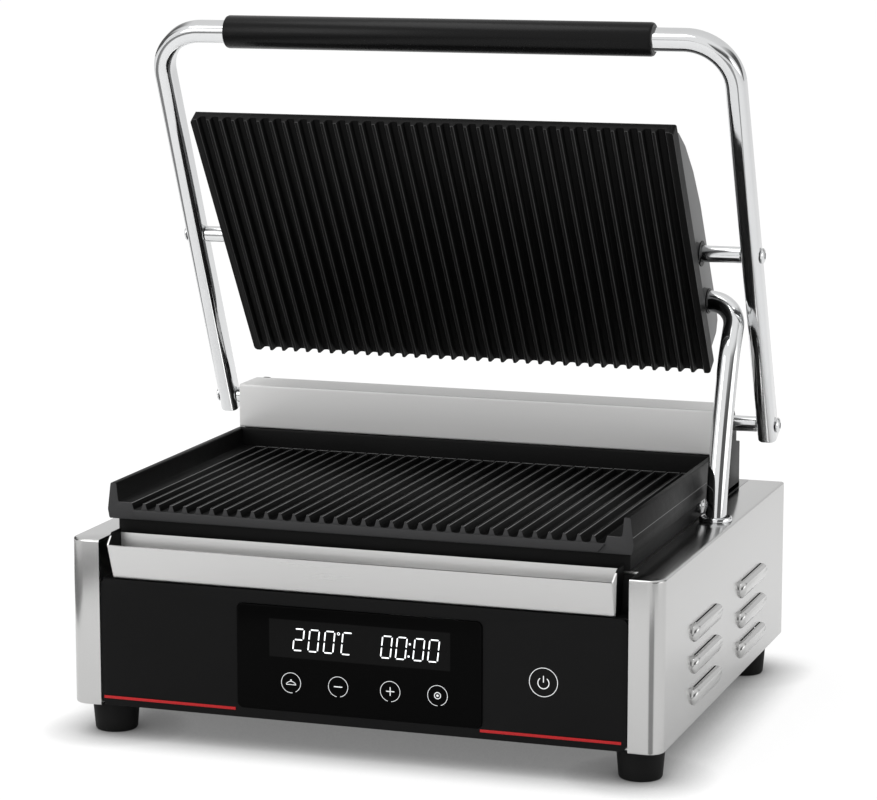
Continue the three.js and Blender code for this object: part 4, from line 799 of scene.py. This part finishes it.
def closed_section(bm, first, last, points, front, rear):
    """Closes a ridged chain through more points, fills it and pushes it from front to rear."""
    verts = [bm.verts.new((x, 0, z)) for x, z in points]
    chain = [last, *verts, first]
    for pair in zip(chain, chain[1:]):
        bm.edges.new(pair)
    made = bmesh.ops.contextual_create(bm, geom=bm.edges[:])
    bmesh.ops.translate(bm, verts=bm.verts, vec=(0, front, 0))
    moved(bm, bmesh.ops.extrude_face_region(bm, geom=made["faces"]), (0, rear - front, 0))


bm = bmesh.new()
bed_top, bed_front, bed_rear = 167.6, -166.6, 70.5
first, last = ridged(bm, 34, 10.2, bed_top, 1, 5.1, 0.5, 1.7, 1.6, 0.9)
rim = [
    (181.4, bed_top), (182.6, 168.1), (183.0, 169.0), (184.1, 180.2), (184.6, 180.9), (185.2, 181),
    (187.9, 181), (188.6, 180.6), (188.95, 179.8), (191.0, 163.4), (191.1, 162.0), (190.1, 156.2),
    (189.4, 155.6),
]
closed_section(bm, first, last, rim + [(-x, z) for x, z in reversed(rim)], bed_front, bed_rear)
front_face = [
    face for face in bm.faces
    if face.normal.y < -0.99 or face.calc_center_median().y < bed_front + 0.1
]
eased(bm, [edge for face in front_face for edge in face.edges], 0.5)
bed = piece(bm, "ridged_bed", iron, "housing", ["lower_plate"], angle=24)
bed.data.materials.append(front_iron_painted_sheen)
# The front-facing faces of the bed take the lighter painted reflection.
for face in bed.data.polygons:
    if face.normal.y < -0.9:
        face.material_index = 1
bm = bmesh.new()
block(bm, -184.6, 184.6, 64.6, 74.6, 155.7, 181.05)
soften(bm, 1.0, 3)
piece(bm, "bed_rear_wall", iron, "housing", ["lower_plate"])
bm = bmesh.new()
apron = [(-167, 156.6), (167, 156.6), (171.5, 162.4), (-171.5, 162.4)]
extruded(bm, apron, "Y", -169, -164)
soften(bm, 0.5)
piece(bm, "bed_apron", front_iron_painted_sheen, "housing", ["lower_plate"])


# Heating: a tubular element in each plate, the mineral board under the lower one and the bulb of its
# thermostat. They are closed in and carry plain finishes.
sheath = steel("element_sheath", (1.0, 1.0, 1.0), tone=0.20, rough=0.5, streaks=0.3)
mineral = moulded("mineral_board", (0.62, 0.56, 0.45), 0.9, 420.0, 0.0003)
brass = steel("brass", (1.0, 1.0, 1.0), tone=0.55, rough=0.35)
dress(sheath, "lower_element", "upper_element")
dress(mineral, "lower_insulation")
dress(brass, "lower_sensor")


# Rear cover, hinge brackets and bushes: a folded stainless cover over the counterbalance springs,
# slid over the noses of two black end plates, each bored for the bush that the lid's shaft turns in.
bm = bmesh.new()
profile = [
    (103.5, 214.5), *arc_points((69.1, 212.9), 1.6, 90, 180, 15),
    *arc_points((69.1, 182.9), 1.6, 180, 270, 15), (95.7, 181.3),
]
chain = [bm.verts.new((-187, y, z)) for y, z in profile]
edges = [bm.edges.new(pair) for pair in zip(chain, chain[1:])]
moved(bm, bmesh.ops.extrude_edge_only(bm, edges=edges), (374, 0, 0))
bmesh.ops.recalc_face_normals(bm, faces=bm.faces)
if max(bm.faces, key=lambda face: abs(face.normal.y) * face.calc_area()).normal.y > 0:
    bmesh.ops.reverse_faces(bm, faces=bm.faces)
piece(
    bm, "folded_cover", cover_steel, "housing", ["rear_cover"], sheet=1.5, bevel=0.15,
    closed=False,
)
bracket_black = moulded("bracket_black_paint", (0.006, 0.006, 0.0061), 0.42, 1000.0, 0.00004)
bush_black = moulded("bush_black_nylon", (0.008, 0.008, 0.008), 0.38, 1300.0, 0.00003)
hinge = Vector((117, 197.5))
for side, hand in ((1, "right"), (-1, "left")):
    bm = bmesh.new()
    outline = [
        (69.3, 186.3), (72.5, 183.1), (96, 183.1), (96, 142.7), (151, 142.7), (151, 178), (140, 178),
        (140, 190), *arc_points(hinge, 15, 0, 180, 10), (100, 212.7), (72.5, 212.7), (69.3, 209.5),
    ]
    extruded(bm, outline, "X", 183, 187, [arc_points(hinge, 8.8, 0, 350, 10)])
    soften(bm, 0.45)
    block(bm, 161, 187, 96, 151, 142.7, 146.7)
    block(bm, 169, 184, 72.5, 101.5, 210.7, 212.7)
    block(bm, 174, 184, 124, 130.4, 175.2, 179.2)
    piece(
        bm, f"hinge_end_plate_{hand}", bracket_black, "housing", [f"hinge_bracket_{hand}"],
        side,
    )
    bm = bmesh.new()
    turned(bm, [
        (6.15, 182.7), (8.5, 182.7), (8.5, 187.3), (10.6, 187.3), (11, 187.7), (11, 188.5), (10.6, 188.9),
        (6.5, 188.9), (6.15, 188.5), (6.15, 182.7),
    ], "X", hinge)
    piece(bm, f"nylon_bush_{hand}", bush_black, "housing", [f"hinge_bush_{hand}"], side)
    screw(
        f"bracket_pan_screw_{hand}", f"bracket_screw_{hand}", "Z", (side * 171, 128), 147, 4.5, 2.6,
        "housing",
    )


# Counterbalance springs: seven turns of blued spring wire round the shaft at each end, one leg
# resting on a tab of the bracket.
spring_blue = steel("blued_spring_wire", (1.0, 1.0, 1.0), tone=0.16, rough=0.3, streaks=0.2)
coil_start, coil_radius, coils, coil_pitch, steps = 178, 10.2, 7, 4.4, 32
for side, hand in ((1, "right"), (-1, "left")):
    bm = bmesh.new()
    wire = bmesh.ops.create_circle(bm, segments=10, radius=1.6)["verts"]
    bmesh.ops.translate(bm, verts=wire, vec=(coil_start, hinge.x + coil_radius, hinge.y))
    edges = list({edge for vert in wire for edge in vert.link_edges})
    leg = bmesh.ops.extrude_edge_only(bm, edges=edges)
    moved(bm, leg, (1.2, 0, -18))
    bmesh.ops.contextual_create(bm, geom=edges_of(leg))
    coil = bmesh.ops.spin(
        bm, geom=wire + edges, cent=(coil_start, *hinge), axis=(1, 0, 0), dvec=(-coil_pitch / steps, 0, 0),
        angle=coils * math.tau, steps=coils * steps,
    )
    bmesh.ops.contextual_create(bm, geom=edges_of(coil, "geom_last"))
    piece(
        bm, f"coiled_spring_{hand}", spring_blue, "housing", [f"counter_spring_{hand}"], side,
    )


# Lid frame: chrome-plated rectangular tube with rounded edges, bent into one bow. It turns on the
# shaft between the brackets and leans forwards when open.
def chrome(name, rough=0.045):
    """Polished plating with faint wipe marks and hairlines."""
    material = bpy.data.materials.new(name)
    tree = Tree(material)
    place = tree.node("ShaderNodeTexCoord", {}, {}, "Object")
    wipe = tree.node(
        "ShaderNodeTexNoise", {}, {"Vector": place, "Scale": 38.0, "Detail": 5.0, "Roughness": 0.6},
    )
    hair = tree.node("ShaderNodeTexNoise", {}, {"Vector": place, "Scale": 1900.0, "Detail": 2.0})
    tint = tree.mix(wipe, (0.69, 0.697, 0.705, 1), (0.75, 0.756, 0.76, 1))
    tree.feed(tree.nodes["Principled BSDF"], {
        "Base Color": tint, "Metallic": 1.0, "Roughness": wipe * 0.07 + (hair * 0.03 + (rough - 0.03)),
        "Normal": tree.node("ShaderNodeBump", {}, {"Height": hair, "Strength": 0.03, "Distance": 0.00005}),
    })
    return material


polished = chrome("polished_chrome")
lid_lean = 24
lid_turn = Matrix.Translation((0, *hinge)) @ Matrix.Rotation(math.radians(lid_lean), 4, "X")
arm_x, arm_reach, arm_foot, bend = 215.7, 318, 11, 34
leg = arm_foot + arm_reach - bend
bm = bmesh.new()
edges = loop(bm, [(-arm_x + x, y, -arm_foot) for x, y in rounded(-7, 7, -8.5, 8.5, 5, 6)])[1]
bmesh.ops.contextual_create(bm, geom=edges)
made = bmesh.ops.extrude_edge_only(bm, edges=edges)
moved(bm, made, (0, 0, leg))
for side, run in ((-1, (2 * (arm_x - bend), 0, 0)), (1, (0, 0, -leg))):
    centre = (side * (arm_x - bend), 0, arm_reach - bend)
    ring = edges_of(made)
    ring_verts = list({vert for edge in ring for vert in edge.verts})
    made = bmesh.ops.spin(
        bm, geom=ring_verts + ring, cent=centre, axis=(0, 1, 0), dvec=(0, 0, 0), angle=math.pi / 2, steps=20,
    )
    made = bmesh.ops.extrude_edge_only(bm, edges=edges_of(made, "geom_last"))
    moved(bm, made, run)
bmesh.ops.contextual_create(bm, geom=edges_of(made))
soften(bm, 1.1, 3, 60)
piece(bm, "chrome_bow", polished, "lid", ["handle_frame"], turn=lid_turn, angle=40)


# Grip: a satin black phenolic sleeve over the cross bar of the lid frame, its ends rounded over and
# well clear of the bends.
grip_black = moulded("grip_black_phenolic", (0.003, 0.003, 0.0031), 0.28, 1400.0, 0.00003, 0.06, 0.15)
bm = bmesh.new()
turned(bm, [
    (6.9, -160.3), (10.6, -160.3), (11.5, -159.7), (12, -158.4), (12, 158.4), (11.5, 159.7), (10.6, 160.3),
    (6.9, 160.3), (6.9, -160.3),
], "X", (0, arm_reach), 72)
piece(bm, "phenolic_grip", grip_black, "lid", ["handle_grip"], turn=lid_turn)


# Shaft, pivot pins and their bolts: bright round bar with button-head socket bolts screwed into
# the ends through the arms, and a stud at each side of the lower plate.
bolt_steel = chrome("bolt_bright_steel", 0.12)


def bar(bm, radius, low, high, centre):
    """A round bar across the grill, its ends chamfered."""
    edge = 0.6
    turned(bm, [
        (0, low), (radius - edge, low), (radius, low + edge), (radius, high - edge), (radius - edge, high),
        (0, high),
    ], "X", centre, 48)


bm = bmesh.new()
bar(bm, 5.8, -208.4, 208.4, (0, 0))
piece(bm, "hinge_bar", bolt_steel, "lid", ["hinge_shaft"], turn=lid_turn)


def button_bolt(centre):
    """The head of a button bolt beside the arm: a low dome bridged to a sunk hexagon."""
    seat = 223
    bm = bmesh.new()
    turned(bm, [
        (2.6, seat - 16), (2.6, seat), (5.5, seat), (5.8, seat + 0.3), (5.8, seat + 0.9), (5.3, seat + 1.5),
        (4.3, seat + 2.05), (3.1, seat + 2.35), (2.9, seat + 2.38),
    ], "X", centre, 48)
    rim = [
        edge for edge in bm.edges
        if len(edge.link_faces) == 1 and edge.verts[0].co.x > seat + 2.3
    ]
    crown = Matrix.Translation((seat + 2.38, *centre)) @ Matrix.Rotation(math.pi / 2, 4, "Y")
    made = bmesh.ops.create_circle(bm, segments=6, radius=2.5, matrix=crown)["verts"]
    hexagon = list({edge for vert in made for edge in vert.link_edges})
    bmesh.ops.bridge_loops(bm, edges=rim + hexagon)
    sunk = bmesh.ops.extrude_edge_only(bm, edges=hexagon)
    moved(bm, sunk, (-1.5, 0, 0))
    bmesh.ops.contextual_create(bm, geom=edges_of(sunk))
    end = [edge for edge in bm.edges if len(edge.link_faces) == 1]
    bmesh.ops.contextual_create(bm, geom=end)
    return bm


pivot_reach = 146
for side, hand in ((1, "right"), (-1, "left")):
    bm = bmesh.new()
    bar(bm, 6, 160, 208.4, (0, pivot_reach))
    piece(
        bm, f"pivot_bar_{hand}", bolt_steel, "lid", [f"pivot_pin_{hand}"], side,
        turn=lid_turn,
    )
    for part, reach in (("hinge_bolt", 0), ("pivot_bolt", pivot_reach)):
        piece(
            button_bolt((0, reach)), f"button_{part}_{hand}", bolt_steel, "lid", [f"{part}_{hand}"],
            side, turn=lid_turn,
        )
    bm = bmesh.new()
    turned(bm, [
        (0, 186.8), (6.8, 186.8), (6.8, 189.2), (6.4, 189.8), (5.4, 190), (2.6, 190), (2.2, 188.6),
        (0, 188.6),
    ], "X", (27, 153.2))
    piece(bm, f"side_stud_{hand}", bolt_steel, "housing", [f"side_bolt_{hand}"], side)


# Upper plate: a ridged iron slab hung on two pins. A raised pad behind the ridges holds the heating
# element and carries cast lugs with bored noses, one for each pin and one for the conduit.
pivot_y, pivot_z, plate_lean = 57.616, 330.878, math.radians(-57)
plate_turn = Matrix.Translation((0, pivot_y, pivot_z)) @ Matrix.Rotation(plate_lean, 4, "X")
upright = Matrix.Rotation(-plate_lean, 4, "X")
slab_tip, slab_back, slab_side = -28, -16.5, 180.5
tip_level = (upright @ Vector((0, pivot_y, pivot_z))).z / 1000 + slab_tip / 1000
# The upper plate's ridge edges carry a fainter painted highlight, grey 0.07, and its grooves the same
# painted shade.
upper_iron = cast_iron("upper_cast_iron", tip_level, -plate_lean, -1, 0.07)
bm = bmesh.new()
first, last = ridged(bm, 36, 9.8, slab_tip, -1, 4.2, 0.7, 2, 1.6, 0.6)
closed_section(bm, first, last, [
    (slab_side, slab_tip), (slab_side, slab_back), (-slab_side, slab_back), (-slab_side, slab_tip),
], -131, 91)
corners = [
    edge for edge in bm.edges
    if all(abs(abs(vert.co.x) - slab_side) < 0.01 for vert in edge.verts)
    and abs(edge.verts[0].co.y - edge.verts[1].co.y) < 0.01
]
eased(bm, corners, 3, 5, False)
bmesh.ops.recalc_face_normals(bm, faces=bm.faces)
ends = {edge for face in bm.faces if abs(face.normal.y) > 0.99 for edge in face.edges}
eased(bm, list(ends), 0.4)
piece(
    bm, "ridged_lid_slab", upper_iron, "upper_plate_body", ["upper_plate"], turn=plate_turn,
    angle=24,
)
hub, posts, pad_side, pad_low = (44, -1), (-7.5, 62), 171.7, -16.6
bm = bmesh.new()
block(bm, -pad_side, pad_side, -121, 87, pad_low, -14.5)
soften(bm, 1.2, 3)
for reach in posts:
    turned(bm, [(0, -14.7), (5.5, -14.7), (5.5, 25.1), (5.1, 25.5), (0, 25.5)], "Z", (0, reach), 32)
for side, centre, radius, bore, deep in (
    (1, (0, 0), 10.5, 6.35, 158), (-1, (0, 0), 10.5, 6.35, 158), (1, hub, 12.2, 8.05, 148.01),
):
    lug = bmesh.new()
    block(lug, 148, pad_side, centre[0] - radius, centre[0] + radius, pad_low, centre[1] - bore - 0.5)
    soften(lug, 0.8, 3)
    turned(lug, [
        (bore, deep), (bore, 177.7), (bore + 0.3, 178), (bore + 1.2, 178), (bore + 1.5, 177.7),
        (bore + 1.5, pad_side), (radius - 0.5, pad_side), (radius, 171.2), (radius, 148.5),
        (radius - 0.5, 148), (bore, 148), (bore, deep),
    ], "X", centre, 48)
    if side < 0:
        flipped(lug)
    cast = bpy.data.meshes.new("lug")
    lug.to_mesh(cast)
    lug.free()
    bm.from_mesh(cast)
    bpy.data.meshes.remove(cast)
pad = piece(
    bm, "lid_plate_pad", upper_iron, "upper_plate_body", ["upper_plate"], turn=plate_turn,
)


# Hood over the upper plate: a drawn sheet cap in enamel, open toward the plate and screwed to two posts;
# its grey is a painted reflection of the bright surround seen at a grazing angle. The noses of the lugs
# stand in holes in its sides, each with a black snap ring beside it; their side faces carry the same
# painted grey.
# Painted reflection: the hood is coloured grey for the bright surround it mirrors at a grazing angle.
hood_painted_grey = moulded("hood_grey_painted_reflection", (0.12, 0.121, 0.122), 0.40, 1000.0, 0.00004, 0.12, 0.3)
hood_edge = 175
hood_side = [
    (-127, -16.2), (-122, -9), (-106, 4.5), (-88, 14), (-58, 23), (-24, 27.6), (72, 27.6), (85, 25.6),
    (91, 17), (91, -16.2),
]
bm = bmesh.new()
for side, holes in ((-1, [((0, 0), 8.15)]), (1, [((0, 0), 8.15), (hub, 9.85)])):
    edges = loop(bm, [(side * hood_edge, y, z) for y, z in hood_side])[1]
    for centre, radius in holes:
        hole = arc_points(centre, radius, 0, 351, 9)
        edges += loop(bm, [(side * hood_edge, y, z) for y, z in hole])[1]
    bmesh.ops.triangle_fill(bm, use_beauty=True, use_dissolve=False, edges=edges, normal=(side, 0, 0))
chain = [bm.verts.new((-hood_edge, y, z)) for y, z in hood_side]
edges = [bm.edges.new(pair) for pair in zip(chain, chain[1:])]
moved(bm, bmesh.ops.extrude_edge_only(bm, edges=edges), (2 * hood_edge, 0, 0))
bmesh.ops.remove_doubles(bm, verts=bm.verts, dist=0.01)
bmesh.ops.recalc_face_normals(bm, faces=bm.faces)
if max(bm.faces, key=lambda face: face.calc_area()).normal.z < 0:
    bmesh.ops.reverse_faces(bm, faces=bm.faces)
eased(bm, folds(bm, 8), 2.6, 4)
piece(
    bm, "drawn_hood", hood_painted_grey, "upper_plate_body", ["upper_back_sheet"], sheet=1.8,
    bevel=0.2, turn=plate_turn, angle=28, closed=False,
)
# The side faces of the lug noses take the same painted grey, a painted reflection on the cast iron.
pad.data.materials.append(hood_painted_grey)
for face in pad.data.polygons:
    if abs(face.center.x) > 0.1725:
        face.material_index = 1
for number, reach in enumerate(posts, 1):
    screw(
        f"hood_pan_screw_{number}", f"back_sheet_screw_{number}", "Z", (0, reach), 27.9, 3.4, 1.6,
        "upper_plate_body", plate_turn,
    )
for name, side, centre, bore in (
    ("pivot_clip_right", 1, (0, 0), 6.3), ("pivot_clip_left", -1, (0, 0), 6.3), ("conduit_clip", 1, hub, 8),
):
    bm = bmesh.new()
    low, high, rim, edge = 178.3, 179.2, 9.4, 0.2
    turned(bm, [
        (bore, low), (rim - edge, low), (rim, low + edge), (rim, high - edge), (rim - edge, high),
        (bore, high), (bore, low),
    ], "X", centre, 48)
    gap = [
        face for face in bm.faces
        if abs(face.calc_center_median().y - centre[0]) < 1.6 and face.calc_center_median().z < centre[1]
    ]
    bmesh.ops.delete(bm, geom=gap, context="FACES")
    bmesh.ops.holes_fill(bm, edges=bm.edges, sides=0)
    piece(bm, f"snap_{name}", bush_black, "upper_plate_body", [name], side, turn=plate_turn)


# Conduit: a chromed tube that carries the upper element's wires from the plate's hub down through
# a ring on the housing. Its leg is bent so that it stays in the ring as the lid closes.
def swing(point, degrees):
    """A point of the side view turned about the origin."""
    turn = math.radians(degrees)
    return Vector((
        point.x * math.cos(turn) - point.y * math.sin(turn),
        point.x * math.sin(turn) + point.y * math.cos(turn),
    ))


lid_travel, plate_travel, tube_travel, overrun = 66, 57, 39.6, 5
ring_at = Vector((23.7, 142.4))
pivot_arm = swing(Vector((0, pivot_reach)), lid_lean)


def hub_at(share):
    """Where the hub is when the lid has made a share of its travel."""
    return hinge + swing(pivot_arm, lid_travel * share) + swing(Vector(hub), plate_travel * (share - 1))


entry = hub_at(0)


def through_ring(share):
    """The place, on the tube at rest, of what stands in the ring at that share."""
    return swing(ring_at - hub_at(share), -tube_travel * share) + entry


most, least = 1 + overrun / lid_travel, -overrun / lid_travel
top = through_ring(most)
down = (top - entry).normalized()
tube_x, elbow = 200.1, 20
route = [(164, *entry), (172, *entry)]
for step in range(13):
    turn = math.radians(90 * step / 12)
    out = entry + down * (elbow * (1 - math.cos(turn)))
    route.append((tube_x - elbow + elbow * math.sin(turn), *out))
start = entry + down * elbow
heading = (through_ring(most - 0.001) - through_ring(most + 0.001)).normalized()
reach = (top - start).length / 3
bends = [start, start + down * reach, top - heading * reach, top]
for step in range(1, 12):
    u = step / 12
    point = sum((
        weight * knot for weight, knot in zip(
            ((1 - u) ** 3, 3 * u * (1 - u) ** 2, 3 * u * u * (1 - u), u ** 3), bends,
        )
    ), Vector((0, 0)))
    route.append((tube_x, *point))
route += [(tube_x, *through_ring(most + (least - most) * step / 30)) for step in range(31)]
curve = bpy.data.curves.new("conduit_route", "CURVE")
curve.dimensions, curve.bevel_depth, curve.bevel_resolution, curve.use_fill_caps = "3D", 7.7, 10, True
spline = curve.splines.new("POLY")
spline.points.add(len(route) - 1)
for knot, place in zip(spline.points, route):
    knot.co = (*place, 1)
holder = bpy.data.objects.new("conduit_route", curve)
bm = bmesh.new()
bm.from_mesh(bpy.data.meshes.new_from_object(holder))
bpy.data.objects.remove(holder)
piece(bm, "chrome_conduit", polished, "conduit", ["conduit_tube"], angle=40)
bm = bmesh.new()
turned(bm, [
    (9.7, 139), (10.9, 139), (10.9, 142.7), (12, 142.7), (12, 144.6), (11.6, 145.4), (10.9, 145.7),
    (10.1, 145.6), (9.7, 145.2), (9.7, 139),
], "Z", (tube_x, ring_at.x), 56)
piece(bm, "deck_ring", polished, "housing", ["conduit_ring"])
